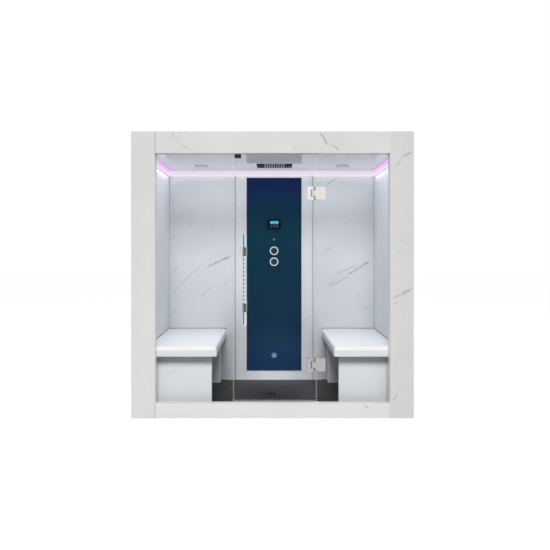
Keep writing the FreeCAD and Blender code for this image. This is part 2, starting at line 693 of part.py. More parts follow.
# Side walls: lining, frame and outer skin
LINING_Z_SPAN = (TRAY_THICKNESS, CEILING_Z)
side_frames = []
for side, label in ((-1, "left"), (1, "right")):
    lining_x = sorted((side * INNER_X, side * LINING_BACK_X))
    frame_x = sorted((side * LINING_BACK_X, side * SKIN_X))
    skin_x = sorted((side * SKIN_X, side * HALF_WIDTH))
    wall_y = (SURROUND_BACK_Y, COVER_Y)
    save(label + "_wall_lining", block(lining_x, TRAY_Y_SPAN, LINING_Z_SPAN))
    side_frames.append(lattice((frame_x, wall_y, (0, ROOF_Z)), 0, SIDE_BAYS, WALL_ROWS, FRAME_MEMBER))
    save(label + "_outer_skin", block(skin_x, wall_y, (0, ROOF_Z)))
save("side_wall_frames", *side_frames)

# Control positions on the column
KNOB_CENTRES = (UPPER_KNOB_Z, LOWER_KNOB_Z)
VALVE_Y = LINING_BACK_Y + VALVE_LENGTH / 2
VALVE_REACH = VALVE_RADIUS + PORT_LENGTH
TOWARD_ROOM = FreeCAD.Vector(0, -1, 0)


def console_holes():
    """Holes through the console glass and the column for necks, probe, outlet and cable."""
    y_span = (CONSOLE_Y - OVERRUN, LINING_BACK_Y + OVERRUN)
    holes = [level_rod(COLUMN_OFFSET, centre, VALVE_NECK_RADIUS + FITTING_GAP, y_span) for centre in KNOB_CENTRES]
    holes.append(level_rod(COLUMN_OFFSET, PROBE_Z, PROBE_STEM_RADIUS + FITTING_GAP, y_span))
    holes.append(level_rod(COLUMN_OFFSET, OUTLET_Z, OUTLET_NECK_RADIUS + FITTING_GAP, y_span))
    holes.append(level_rod(COLUMN_OFFSET, CONTROLLER_Z, CABLE_HOLE_RADIUS, y_span))
    return holes


# Back wall linings, column panel and console glass
BACK_LINING_Y = (BACK_WALL_Y, LINING_BACK_Y)
COLUMN_X_SPAN = on_column(COLUMN_WIDTH)
save("back_left_lining", block((-INNER_X, COLUMN_X_SPAN[0]), BACK_LINING_Y, LINING_Z_SPAN))
save("back_right_lining", block((COLUMN_X_SPAN[1], INNER_X), BACK_LINING_Y, LINING_Z_SPAN))
column = block(COLUMN_X_SPAN, BACK_LINING_Y, LINING_Z_SPAN)
column_face = block(COLUMN_X_SPAN, (COLUMN_Y, BACK_WALL_Y), (FLOOR_Z, COLUMN_TOP))
column_face = softened(column_face, CLADDING_EDGE_RADIUS, ALONG_Z, lambda middle: middle.y < BACK_WALL_Y)
save("column_lining", column.fuse(column_face).removeSplitter().cut(console_holes()))

console = block(on_column(CONSOLE_WIDTH), (CONSOLE_Y, COLUMN_Y), (CONSOLE_BOTTOM, CONSOLE_TOP))
console = softened(console, CONSOLE_CORNER_RADIUS, ALONG_Y)
save("console_glass", console.cut(console_holes()))

# Controller
CONTROLLER_FRONT_Y = CONSOLE_Y - CONTROLLER_DEPTH
POCKET_Y = CONTROLLER_FRONT_Y + CONTROLLER_POCKET
SCREEN_X_SPAN = on_column(SCREEN_WIDTH)
SCREEN_TOP = CONTROLLER_Z + CONTROLLER_HEIGHT / 2 - CONTROLLER_BORDER
SCREEN_Z_SPAN = (SCREEN_TOP - SCREEN_HEIGHT, SCREEN_TOP)
KEYPAD_BOTTOM = CONTROLLER_Z - CONTROLLER_HEIGHT / 2 + CONTROLLER_BORDER
KEYPAD_Z_SPAN = (KEYPAD_BOTTOM, SCREEN_Z_SPAN[0] - CONTROLLER_BAR)
KEYPAD_HEIGHT = KEYPAD_Z_SPAN[1] - KEYPAD_Z_SPAN[0]
housing = block(
    on_column(CONTROLLER_WIDTH),
    (CONTROLLER_FRONT_Y, CONSOLE_Y),
    (CONTROLLER_Z - CONTROLLER_HEIGHT / 2, CONTROLLER_Z + CONTROLLER_HEIGHT / 2),
)
housing = softened(housing, CONTROLLER_CORNER_RADIUS, ALONG_Y)
pocket_y = (CONTROLLER_FRONT_Y - OVERRUN, POCKET_Y)
housing = housing.cut([block(SCREEN_X_SPAN, pocket_y, span) for span in (SCREEN_Z_SPAN, KEYPAD_Z_SPAN)])
save("controller_housing", housing)
save("controller_screen", block(SCREEN_X_SPAN, (CONTROLLER_FRONT_Y + SCREEN_RECESS, POCKET_Y), SCREEN_Z_SPAN))


def controller_keypad():
    """Key membrane with rows of slightly raised touch keys."""
    keypad = block(SCREEN_X_SPAN, (CONTROLLER_FRONT_Y, POCKET_Y), KEYPAD_Z_SPAN)
    field = SCREEN_WIDTH * KEY_FIELD_SHARE
    keys = []
    for column_index in range(KEY_COLUMNS):
        for row in range(KEY_ROWS):
            x = COLUMN_OFFSET + field * (column_index / (KEY_COLUMNS - 1) - 1 / 2)
            z = KEYPAD_Z_SPAN[0] + KEYPAD_HEIGHT * (row + 1 / 2) / KEY_ROWS
            keys.append(level_rod(x, z, KEY_RADIUS, (CONTROLLER_FRONT_Y - KEY_RISE, CONTROLLER_FRONT_Y)))
    return keypad.fuse(keys).removeSplitter()


save("controller_keypad", controller_keypad())

# Temperature probe
probe = level_rod(COLUMN_OFFSET, PROBE_Z, PROBE_RADIUS, (CONSOLE_Y - PROBE_RISE, CONSOLE_Y))
probe = probe.makeFillet(PROBE_ROUND, [edge for edge in probe.Edges if edge.CenterOfMass.y < CONSOLE_Y - PROBE_ROUND])
probe_stem = level_rod(COLUMN_OFFSET, PROBE_Z, PROBE_STEM_RADIUS, (CONSOLE_Y, LINING_BACK_Y))
save("temperature_probe", probe.fuse(probe_stem).removeSplitter())


# Control knobs, rings and the valve body
def knob(centre_z):
    """Dished knob with a fluted rim and its spindle."""
    depth = KNOB_LIFT + SPINDLE_BITE
    profile = [
        (0, KNOB_HEIGHT - KNOB_DISH),
        (KNOB_RADIUS - KNOB_EDGE - KNOB_DISH, KNOB_HEIGHT),
        (KNOB_RADIUS - KNOB_EDGE, KNOB_HEIGHT),
        (KNOB_RADIUS, KNOB_HEIGHT - KNOB_EDGE),
        (KNOB_RADIUS, 0),
        (SPINDLE_RADIUS, 0),
        (SPINDLE_RADIUS, -depth),
        (0, -depth),
    ]
    face_y = CONSOLE_Y - KNOB_LIFT
    body = spun(profile, FreeCAD.Vector(COLUMN_OFFSET, face_y, centre_z), TOWARD_ROOM)
    flutes = []
    for index in range(KNOB_FLUTES):
        angle = math.radians(360 * index / KNOB_FLUTES)
        x = COLUMN_OFFSET + KNOB_RADIUS * math.cos(angle)
        z = centre_z + KNOB_RADIUS * math.sin(angle)
        flutes.append(level_rod(x, z, KNOB_FLUTE_RADIUS, (face_y - KNOB_HEIGHT - OVERRUN, face_y - RING_HEIGHT)))
    return body.cut(flutes)


def knob_ring(centre_z):
    """Round-edged ring on the console glass."""
    y_span = (CONSOLE_Y - RING_HEIGHT, CONSOLE_Y)
    ring = level_rod(COLUMN_OFFSET, centre_z, RING_RADIUS, y_span)
    ring = ring.cut(level_rod(COLUMN_OFFSET, centre_z, KNOB_RADIUS + RING_GAP, y_span))
    front_edges = [edge for edge in ring.Edges if edge.BoundBox.YMax < CONSOLE_Y - RING_ROUND]
    return ring.makeFillet(RING_ROUND, front_edges)


save("upper_knob", knob(UPPER_KNOB_Z))
save("lower_knob", knob(LOWER_KNOB_Z))
save("knob_rings", *[knob_ring(centre) for centre in KNOB_CENTRES])


def valve_body():
    """Cast body with two barrels, necks through the column, side ports below and a port on top."""
    y_span = (LINING_BACK_Y, LINING_BACK_Y + VALVE_LENGTH)
    pieces = []
    bores = []
    for centre in KNOB_CENTRES:
        pieces.append(level_rod(COLUMN_OFFSET, centre, VALVE_RADIUS, y_span))
        pieces.append(level_rod(COLUMN_OFFSET, centre, VALVE_NECK_RADIUS, (CONSOLE_Y, LINING_BACK_Y)))
        bore_y = (CONSOLE_Y - OVERRUN, CONSOLE_Y + SPINDLE_BITE + FITTING_GAP)
        bores.append(level_rod(COLUMN_OFFSET, centre, SPINDLE_RADIUS + RUNNING_FIT, bore_y))
    bridge_x = on_column(VALVE_BRIDGE_WIDTH)
    pieces.append(block(bridge_x, y_span, (LOWER_KNOB_Z, UPPER_KNOB_Z)))
    start = FreeCAD.Vector(COLUMN_OFFSET - VALVE_REACH, VALVE_Y, LOWER_KNOB_Z)
    pieces.append(Part.makeCylinder(PORT_RADIUS, VALVE_REACH * 2, start, ALONG_X))
    pieces.append(upright_rod(COLUMN_OFFSET, VALVE_Y, PORT_RADIUS, (UPPER_KNOB_Z, UPPER_KNOB_Z + VALVE_REACH)))
    return pieces[0].fuse(pieces[1:]).removeSplitter().cut(bores)


save("valve_body", valve_body())


# Water pipes
def inlet_x(side):
    """Middle of a water inlet."""
    return COLUMN_OFFSET + side * INLET_SPACING / 2


def supply_route(side):
    """Route from a side port of the valve body to the rear face."""
    return [
        FreeCAD.Vector(COLUMN_OFFSET + side * VALVE_REACH, VALVE_Y, LOWER_KNOB_Z),
        FreeCAD.Vector(inlet_x(side), VALVE_Y, LOWER_KNOB_Z),
        FreeCAD.Vector(inlet_x(side), REAR_Y, LOWER_KNOB_Z),
    ]


RISER_Z = CEILING_Z + LINING_THICKNESS + RISER_RISE
RISER_ROUTE = [
    FreeCAD.Vector(COLUMN_OFFSET, VALVE_Y, UPPER_KNOB_Z + VALVE_REACH),
    FreeCAD.Vector(COLUMN_OFFSET, VALVE_Y, RISER_Z),
    FreeCAD.Vector(COLUMN_OFFSET, SHOWER_Y, RISER_Z),
    FreeCAD.Vector(COLUMN_OFFSET, SHOWER_Y, CEILING_Z + SHOWER_BOSS_HEIGHT),
]
supply_pipes = []
for side in (-1, 1):
    supply_pipes.append(tube(supply_route(side), WATER_PIPE_BEND, WATER_PIPE_RADIUS, WATER_PIPE_WALL))
save("supply_pipes", *supply_pipes)
save("shower_riser", tube(RISER_ROUTE, WATER_PIPE_BEND, WATER_PIPE_RADIUS, WATER_PIPE_WALL))
riser_way = swept(RISER_ROUTE, WATER_PIPE_BEND, WATER_PIPE_RADIUS + INLET_HOLE_GAP)


# Steam outlet, generator and steam pipe
def steam_outlet():
    """Flat cap with slots and a hollow neck through the column."""
    tail = LINING_BACK_Y - CONSOLE_Y + OUTLET_TAIL
    bore = OUTLET_NECK_RADIUS - OUTLET_WALL
    profile = [
        (0, OUTLET_RISE),
        (OUTLET_RADIUS - OUTLET_BEVEL, OUTLET_RISE),
        (OUTLET_RADIUS, OUTLET_RISE - OUTLET_BEVEL),
        (OUTLET_RADIUS, 0),
        (OUTLET_NECK_RADIUS, 0),
        (OUTLET_NECK_RADIUS, -tail),
        (bore, -tail),
        (bore, OUTLET_RISE - OUTLET_WALL),
        (0, OUTLET_RISE - OUTLET_WALL),
    ]
    centre = FreeCAD.Vector(COLUMN_OFFSET, CONSOLE_Y, OUTLET_Z)
    cap = spun(profile, centre, TOWARD_ROOM)
    near, far = [bore * share for share in OUTLET_SLOT_SHARES]
    y_span = (CONSOLE_Y - OUTLET_RISE - OVERRUN, CONSOLE_Y)
    slots = []
    for index in range(OUTLET_SLOTS):
        z_span = (OUTLET_Z - OUTLET_SLOT_WIDTH / 2, OUTLET_Z + OUTLET_SLOT_WIDTH / 2)
        slot = block((COLUMN_OFFSET + near, COLUMN_OFFSET + far), y_span, z_span)
        slot.rotate(centre, TOWARD_ROOM, 360 * index / OUTLET_SLOTS)
        slots.append(slot)
    return cap.cut(slots)


save("steam_outlet", steam_outlet())

GENERATOR_Z = LOWER_KNOB_Z - VALVE_RADIUS - GENERATOR_HEADROOM - GENERATOR_HEIGHT
GENERATOR_X_SPAN = on_column(GENERATOR_WIDTH)
generator = block(
    GENERATOR_X_SPAN,
    (PIPE_Y - GENERATOR_DEPTH / 2, PIPE_Y + GENERATOR_DEPTH / 2),
    (GENERATOR_Z, GENERATOR_Z + GENERATOR_HEIGHT),
)
save("steam_generator", softened(generator, GENERATOR_RADIUS, ALONG_Z))

STEAM_PIPE_X = GENERATOR_X_SPAN[1] + STEAM_PIPE_OFFSET
STEAM_PORT_Z = GENERATOR_Z + GENERATOR_PORT_RISE
STEAM_ROUTE = [
    FreeCAD.Vector(GENERATOR_X_SPAN[1], PIPE_Y, STEAM_PORT_Z),
    FreeCAD.Vector(STEAM_PIPE_X, PIPE_Y, STEAM_PORT_Z),
    FreeCAD.Vector(STEAM_PIPE_X, PIPE_Y, OUTLET_Z),
    FreeCAD.Vector(COLUMN_OFFSET, PIPE_Y, OUTLET_Z),
    FreeCAD.Vector(COLUMN_OFFSET, LINING_BACK_Y + OUTLET_TAIL, OUTLET_Z),
]
save("steam_pipe", tube(STEAM_ROUTE, STEAM_PIPE_BEND, STEAM_PIPE_RADIUS, STEAM_PIPE_WALL))
steam_way = swept(STEAM_ROUTE, STEAM_PIPE_BEND, STEAM_PIPE_RADIUS + INLET_HOLE_GAP)

# Rear frame and cover
def rear_frame():
    """Studs and rails; the middle rails carry the generator and clear the valve body."""
    y_span = (LINING_BACK_Y, COVER_Y)
    frame = lattice((TRAY_X_SPAN, y_span, (0, ROOF_Z)), 1, REAR_BAYS, 1, FRAME_MEMBER)
    rail_tops = (GENERATOR_Z, UPPER_KNOB_Z + VALVE_REACH + VALVE_HEADROOM + FRAME_MEMBER)
    rails = [block(TRAY_X_SPAN, y_span, (top - FRAME_MEMBER, top)) for top in rail_tops]
    return frame.fuse(rails).removeSplitter().cut([riser_way, steam_way])


save("rear_wall_frame", rear_frame())
cover = block((-HALF_WIDTH, HALF_WIDTH), (COVER_Y, REAR_Y), (0, ROOF_Z))
cover_y = (COVER_Y - OVERRUN, REAR_Y + OVERRUN)
cover_holes = [level_rod(COLUMN_OFFSET, STEAM_PORT_Z, CABLE_HOLE_RADIUS, cover_y)]
for side in (-1, 1):
    cover_holes.append(level_rod(inlet_x(side), LOWER_KNOB_Z, WATER_PIPE_RADIUS + INLET_HOLE_GAP, cover_y))
save("rear_cover", cover.cut(cover_holes))

# Ceiling, roof frame and roof panel
CEILING_TOP = CEILING_Z + LINING_THICKNESS
ceiling = block(TRAY_X_SPAN, TRAY_Y_SPAN, (CEILING_Z, CEILING_TOP))
ceiling_cut_z = (CEILING_Z - OVERRUN, CEILING_TOP + OVERRUN)
ceiling_holes = [upright_rod(COLUMN_OFFSET, SHOWER_Y, SHOWER_BOSS_RADIUS + FITTING_GAP, ceiling_cut_z)]
for x in (-DOWNLIGHT_X, DOWNLIGHT_X):
    ceiling_holes.append(upright_rod(x, DOWNLIGHT_Y, DOWNLIGHT_CAN_RADIUS + FITTING_GAP, ceiling_cut_z))
save("ceiling_panel", ceiling.cut(ceiling_holes))
roof_frame = lattice((TRAY_X_SPAN, TRAY_Y_SPAN, (CEILING_TOP, ROOF_Z)), 2, REAR_BAYS, ROOF_ROWS, FRAME_MEMBER)
save("roof_frame", roof_frame.cut(riser_way))
save("roof_panel", block((-HALF_WIDTH, HALF_WIDTH), (SURROUND_BACK_Y, REAR_Y), (ROOF_Z, ROOM_HEIGHT)))


# Light strip along the ceiling edge
def ceiling_run(section):
    """Mitred run of a section of (inset, drop) points along the left, back and right walls."""
    wires = []
    for station in range(4):
        points = []
        for inset, drop in section:
            x = INNER_X - inset
            back_y = BACK_WALL_Y - inset
            places = ((-x, SURROUND_BACK_Y), (-x, back_y), (x, back_y), (x, SURROUND_BACK_Y))
            points.append(FreeCAD.Vector(places[station][0], places[station][1], CEILING_Z - drop))
        wires.append(Part.makePolygon(points + [points[0]]))
    return Part.makeLoft(wires, True, True)


def between(low, high, share):
    """Point at a share of the way between two limits."""
    return low + (high - low) * share


channel_section = [
    (0, 0),
    (LIGHT_DEPTH, 0),
    (LIGHT_DEPTH, LIGHT_WALL),
    (LIGHT_WALL, LIGHT_WALL),
    (LIGHT_WALL, LIGHT_DROP),
    (0, LIGHT_DROP),
]
diffuser_section = [
    (LIGHT_WALL, LIGHT_WALL),
    (LIGHT_DEPTH, LIGHT_WALL),
    (between(LIGHT_WALL, LIGHT_DEPTH, LIGHT_BULGE_SHARE), between(LIGHT_WALL, LIGHT_DROP, LIGHT_BULGE_SHARE)),
    (LIGHT_WALL, LIGHT_DROP),
]
save("light_channel", ceiling_run(channel_section))
save("light_diffuser", ceiling_run(diffuser_section))


# Downlights
def downlight_bezel(x):
    """Flanged can through the ceiling."""
    inner = DOWNLIGHT_CAN_RADIUS - DOWNLIGHT_CAN_WALL
    top = DOWNLIGHT_CAN_HEIGHT
    profile = [
        (0, top - DOWNLIGHT_CAN_WALL),
        (inner, top - DOWNLIGHT_CAN_WALL),
        (inner, -DOWNLIGHT_FLANGE),
        (DOWNLIGHT_RADIUS - DOWNLIGHT_FLANGE, -DOWNLIGHT_FLANGE),
        (DOWNLIGHT_RADIUS, 0),
        (DOWNLIGHT_CAN_RADIUS, 0),
        (DOWNLIGHT_CAN_RADIUS, top),
        (0, top),
    ]
    return spun(profile, FreeCAD.Vector(x, DOWNLIGHT_Y, CEILING_Z), ALONG_Z)


def downlight_lens(x):
    """Lens disc set back in the can."""
    start = CEILING_Z - DOWNLIGHT_FLANGE + DOWNLIGHT_LENS_RECESS
    radius = DOWNLIGHT_CAN_RADIUS - DOWNLIGHT_CAN_WALL - RUNNING_FIT
    return upright_rod(x, DOWNLIGHT_Y, radius, (start, start + DOWNLIGHT_LENS))


save("downlight_bezels", *[downlight_bezel(x) for x in (-DOWNLIGHT_X, DOWNLIGHT_X)])
save("downlight_lenses", *[downlight_lens(x) for x in (-DOWNLIGHT_X, DOWNLIGHT_X)])

# Rain shower head under the ceiling
SHOWER_Z = CEILING_Z - SHOWER_THICKNESS
shower = block(
    on_column(SHOWER_WIDTH),
    (SHOWER_Y - SHOWER_DEPTH / 2, SHOWER_Y + SHOWER_DEPTH / 2),
    (SHOWER_Z, CEILING_Z),
)
shower = softened(shower, SHOWER_CORNER_RADIUS, ALONG_Z)
shower_boss = upright_rod(COLUMN_OFFSET, SHOWER_Y, SHOWER_BOSS_RADIUS, (CEILING_Z, CEILING_Z + SHOWER_BOSS_HEIGHT))
save("shower_head", shower.fuse(shower_boss).removeSplitter())
nozzle_plate = block(
    on_column(NOZZLE_PLATE_WIDTH),
    (SHOWER_Y - NOZZLE_PLATE_DEPTH / 2, SHOWER_Y + NOZZLE_PLATE_DEPTH / 2),
    (SHOWER_Z - NOZZLE_PLATE, SHOWER_Z),
)
save("shower_nozzle_plate", softened(nozzle_plate, SHOWER_CORNER_RADIUS, ALONG_Z))

# Benches: a slab on a front and a rear leg panel
SLAB_Z = BENCH_TOP - BENCH_SLAB


def bench_edge(side):
    """Inner edge of a bench; the aisle lies in front of the column."""
    return COLUMN_OFFSET + side * AISLE_WIDTH / 2


def free_rim(slab, level):
    """Inner and front edges of a slab at one level."""
    rim = []
    for edge in edges_along(slab, ALONG_X) + edges_along(slab, ALONG_Y):
        middle = edge.CenterOfMass
        off_walls = abs(middle.x) < INNER_X - BENCH_ROUND and middle.y < BACK_WALL_Y - BENCH_ROUND
        if off_walls and abs(middle.z - level) < BENCH_EDGE_RADIUS:
            rim.append(edge)
    return rim


def bench_slab(side):
    """Slab from the surround to the back wall, well rounded where people sit down."""
    x_span = sorted((bench_edge(side), side * INNER_X))
    slab = block(x_span, (SURROUND_BACK_Y, BACK_WALL_Y), (SLAB_Z, BENCH_TOP))
    slab = slab.makeFillet(BENCH_ROUND, free_rim(slab, BENCH_TOP))
    return slab.makeFillet(BENCH_EDGE_RADIUS, free_rim(slab, SLAB_Z))


def bench_legs(side):
    """Front and rear leg panels under a slab."""
    inner_edge = bench_edge(side) + side * BENCH_LEG_INSET
    x_span = sorted((inner_edge, side * INNER_X))
    legs = []
    rear_start = BACK_WALL_Y - BENCH_REAR_LEG_GAP - BENCH_LEG
    for start in (SURROUND_BACK_Y + BENCH_FRONT_LEG_BACK, rear_start):
        leg = block(x_span, (start, start + BENCH_LEG), (FLOOR_Z, SLAB_Z))
        legs.append(
            softened(leg, BENCH_EDGE_RADIUS, ALONG_Z, lambda middle: abs(middle.x - inner_edge) < BENCH_EDGE_RADIUS)
        )
    return legs


for side, label in ((-1, "left"), (1, "right")):
    save(label + "_bench_slab", bench_slab(side))
    save(label + "_bench_legs", *bench_legs(side))
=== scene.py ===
import json
import math

import bpy
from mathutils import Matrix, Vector


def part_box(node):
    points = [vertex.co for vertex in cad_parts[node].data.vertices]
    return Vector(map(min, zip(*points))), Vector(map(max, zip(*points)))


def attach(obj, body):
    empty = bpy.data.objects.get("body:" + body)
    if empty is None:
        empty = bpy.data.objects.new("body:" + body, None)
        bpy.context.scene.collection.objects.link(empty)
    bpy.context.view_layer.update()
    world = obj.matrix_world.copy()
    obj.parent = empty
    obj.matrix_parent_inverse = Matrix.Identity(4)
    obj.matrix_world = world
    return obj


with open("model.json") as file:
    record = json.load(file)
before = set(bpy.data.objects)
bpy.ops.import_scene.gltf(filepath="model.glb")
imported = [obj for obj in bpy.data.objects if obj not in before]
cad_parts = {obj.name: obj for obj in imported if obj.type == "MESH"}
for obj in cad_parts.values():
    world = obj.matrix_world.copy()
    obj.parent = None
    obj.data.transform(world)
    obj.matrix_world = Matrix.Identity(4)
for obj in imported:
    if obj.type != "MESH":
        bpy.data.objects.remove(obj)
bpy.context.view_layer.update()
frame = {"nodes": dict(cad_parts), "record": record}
nodes = frame["nodes"]


# Middle heights of the two hinges
HINGE_HEIGHTS = (0.390, 1.674)


def middle_of(node):
    """Middle of a solid's box."""
    return [(low + high) / 2 for low, high in zip(*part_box(node))]


# Node maths
class Value:
    """A node socket; arithmetic on it adds Math nodes."""

    def __init__(self, graph, socket):
        self.graph = graph
        self.socket = socket

    def _math(self, operation, first, second=None, clamp=False):
        sockets = {0: first} if second is None else {0: first, 1: second}
        settings = {"operation": operation, "use_clamp": clamp}
        return self.graph.node("ShaderNodeMath", settings, sockets)("Value")

    def __add__(self, other):
        return self._math("ADD", self, other)

    def __sub__(self, other):
        return self._math("SUBTRACT", self, other)

    def __rsub__(self, other):
        return self._math("SUBTRACT", other, self)

    def __mul__(self, other):
        return self._math("MULTIPLY", self, other)

    def __truediv__(self, other):
        return self._math("DIVIDE", self, other)

    def __pow__(self, other):
        return self._math("POWER", self, other)

    def __abs__(self):
        return self._math("ABSOLUTE", self)

    def clamped(self):
        return self._math("ADD", self, 0.0, clamp=True)

    def below(self, limit, sharpness):
        """One well under a limit, zero from the limit on."""
        return ((limit - self) * sharpness).clamped()

    def beyond(self, limit, sharpness):
        """Zero up to a limit, one well past it."""
        return ((self - limit) * sharpness).clamped()

    def within(self, middle, half, sharpness):
        """One inside a band, zero well outside it."""
        return (1.0 - (abs(self - middle) - half) * sharpness).clamped()

    def modulo(self, step):
        return self._math("FLOORED_MODULO", self, step)

    def larger(self, other):
        return self._math("MAXIMUM", self, other)


class Graph:
    """A node tree that is filled in code."""

    def __init__(self, tree):
        self.tree = tree
        tree.nodes.clear()

    def node(self, kind, settings=None, sockets=None):
        """Add a node, set it up and return a way to its outputs."""
        made = self.tree.nodes.new(kind)
        for key, setting in (settings or {}).items():
            if key == "stops":
                ramp = made.color_ramp
                while len(ramp.elements) < len(setting):
                    ramp.elements.new(0.5)
                for element, (place, colour) in zip(ramp.elements, setting):
                    element.position = place
                    element.color = (*colour, 1.0)
            else:
                setattr(made, key, setting)
        for key, value in (sockets or {}).items():
            if isinstance(value, Value):
                self.tree.links.new(value.socket, made.inputs[key])
            else:
                made.inputs[key].default_value = value
        return lambda output: Value(self, made.outputs[output])


class Finish(Graph):
    """One procedural material and the nodes that make it."""

    def __init__(self, name, owner=None):
        self.material = owner or bpy.data.materials.new(name)
        self.material.use_nodes = True
        super().__init__(self.material.node_tree)

    def place(self):
        """Object coordinates as three values."""
        split = self.node("ShaderNodeSeparateXYZ", None, {0: self.point()})
        return split("X"), split("Y"), split("Z")

    def point(self):
        return self.node("ShaderNodeTexCoord")("Object")

    def facing(self):
        """Surface normal in object coordinates, as three values."""
        normal = self.node("ShaderNodeTexCoord")("Normal")
        split = self.node("ShaderNodeSeparateXYZ", None, {0: normal})
        return split("X"), split("Y"), split("Z")

    def scaled(self, scale):
        """Object coordinates, scaled along each axis."""
        return self.node("ShaderNodeMapping", None, {0: self.point(), "Scale": scale})("Vector")

    def noise(self, scale, detail=3.0, where=None, roughness=0.5, distortion=0.0):
        """Noise from 0 to 1."""
        sockets = {"Scale": scale, "Detail": detail, "Roughness": roughness, "Distortion": distortion}
        sockets["Vector"] = where or self.point()
        return self.node("ShaderNodeTexNoise", None, sockets)("Fac")

    def ramp(self, value, stops):
        return self.node("ShaderNodeValToRGB", {"stops": stops}, {0: value})("Color")

    def mixed(self, factor, first, second):
        """Colour between two colours."""
        made = self.tree.nodes.new("ShaderNodeMix")
        made.data_type = "RGBA"
        for index, value in ((0, factor), (6, first), (7, second)):
            if isinstance(value, Value):
                self.tree.links.new(value.socket, made.inputs[index])
            elif index == 0:
                made.inputs[index].default_value = value
            else:
                made.inputs[index].default_value = (*value, 1.0)
        return Value(self, made.outputs[2])

    def bump(self, height, strength, distance):
        sockets = {"Height": height, "Strength": strength, "Distance": distance}
        return self.node("ShaderNodeBump", None, sockets)("Normal")

    def surface(self, **sockets):
        """Principled surface as the material's output."""
        named = {}
        for key, value in sockets.items():
            socket_name = key.replace("_", " ").title().replace("Ior", "IOR")
            colour = isinstance(value, tuple) and len(value) == 3
            named[socket_name] = (*value, 1.0) if colour else value
        shader = self.node("ShaderNodeBsdfPrincipled", None, named)("BSDF")
        self.node("ShaderNodeOutputMaterial", None, {"Surface": shader})
        return self.material


# Stone and panel finishes
def vein_mask(finish, veins):
    """Fine wandering lines between given points (X, Z), as one mask."""
    x, _, z = finish.place()
    sway = 0.04
    tremble = 0.012
    fade = 30.0
    wander = (finish.noise(9.0, 3.0) - 0.5) * sway + (finish.noise(45.0, 2.0) - 0.5) * tremble
    slim = 1.25 - finish.noise(26.0, 2.0) * 1.15
    broken = finish.noise(19.0, 2.0).beyond(0.26, 4.0)
    mask = None
    for (start_x, start_z), (end_x, end_z), width, strength in veins:
        run_x = end_x - start_x
        run_z = end_z - start_z
        length = math.hypot(run_x, run_z)
        step_x = run_x / length
        step_z = run_z / length
        along = (x - start_x) * step_x + (z - start_z) * step_z
        aside = (z - start_z) * step_x - (x - start_x) * step_z + wander
        ends = (along * fade).clamped() * along.below(length, fade)
        line = (1.0 - abs(aside) * slim / width).clamped() * ends * strength
        mask = line if mask is None else mask.larger(line)
    return mask * broken


def streak_mask(finish, slope, density):
    """Faint slanting lines that come and go over a whole panel."""
    x, y, z = finish.place()
    level = x + y * 0.9
    along = level * math.cos(slope) + z * math.sin(slope)
    aside = z * math.cos(slope) - level * math.sin(slope)
    stretched = {0: along * 0.9, 1: aside * 5.0, 2: y * 0.4}
    where = finish.node("ShaderNodeCombineXYZ", None, stretched)("Vector")
    lines = finish.noise(1.0, 4.0, where, 0.55, 0.35)
    fineness = 55.0
    patches = finish.noise(density, 2.0).beyond(0.5, 6.0)
    return (1.0 - abs(lines - 0.5) * fineness).clamped() * patches


# Painted tones towards the foot of a stone panel: painted light from the floor on the front, painted shade at
# the foot of the back wall
PAINTED_FOOT_LIGHT = (0.86, 0.86, 0.855)
PAINTED_FOOT_SHADE = (0.50, 0.525, 0.555)


def marble(name, tones, veins, slope, roughness, painted_foot_share=0.0, painted_foot_tone=PAINTED_FOOT_LIGHT, painted_shadow_share=0.0):
    """Stone-patterned panel: clouds, slanting streaks and placed veins, with painted light or painted shade
    towards the foot, as given, and a painted shadow under a slab.
    """
    finish = Finish(name)
    z = finish.place()[2]
    pale, cloud, line = tones
    foot_reach = 2.0
    shade_foot = 0.343
    shade_fade = 0.052
    streak_share = 0.12
    clouds = finish.noise(1.5, 4.0, None, 0.55).beyond(0.35, 2.6)
    # Painted light or painted shade: the foot tone mixed in more strongly towards the bottom
    foot = (1.0 - z / foot_reach).clamped() * painted_foot_share
    ground = finish.mixed(foot, finish.mixed(clouds, pale, cloud), painted_foot_tone)
    streaks = finish.mixed(streak_mask(finish, slope, 2.6) * streak_share, ground, line)
    veined = finish.mixed(vein_mask(finish, veins), streaks, line)
    # Painted shadow of the slab: darker towards the top of a bench leg
    head = ((z - shade_foot) / shade_fade).clamped() * painted_shadow_share
    colour = finish.mixed(head, veined, (0.10, 0.105, 0.11))
    gloss = finish.noise(40.0, 2.0) * 0.08 + roughness
    return finish.surface(base_color=colour, roughness=gloss, specular_ior_level=0.4)


# Veins as start, end (X and Z), half width and strength
FRONT_VEINS = [
    ((-0.761, 2.128), (-0.690, 2.035), 0.006, 0.60),
    ((-0.705, 2.047), (-0.598, 1.982), 0.005, 0.50),
    ((0.140, 2.040), (0.190, 1.985), 0.005, 0.35),
    ((0.345, 2.128), (0.425, 2.020), 0.008, 0.80),
    ((0.430, 2.040), (0.508, 1.978), 0.007, 0.70),
    ((0.899, 1.858), (0.970, 1.942), 0.006, 0.55),
    ((0.955, 1.932), (1.048, 1.986), 0.006, 0.70),
    ((0.892, 1.134), (0.914, 1.166), 0.006, 0.50),
    ((0.892, 0.887), (0.965, 0.924), 0.006, 0.65),
    ((0.950, 0.916), (1.048, 0.965), 0.008, 0.85),
    ((0.895, 0.837), (0.948, 0.880), 0.005, 0.60),
    ((0.927, 0.574), (0.977, 0.624), 0.012, 0.20),
    ((0.888, 0.120), (0.934, 0.177), 0.006, 0.60),
    ((0.675, 0.106), (0.728, 0.071), 0.006, 0.60),
]
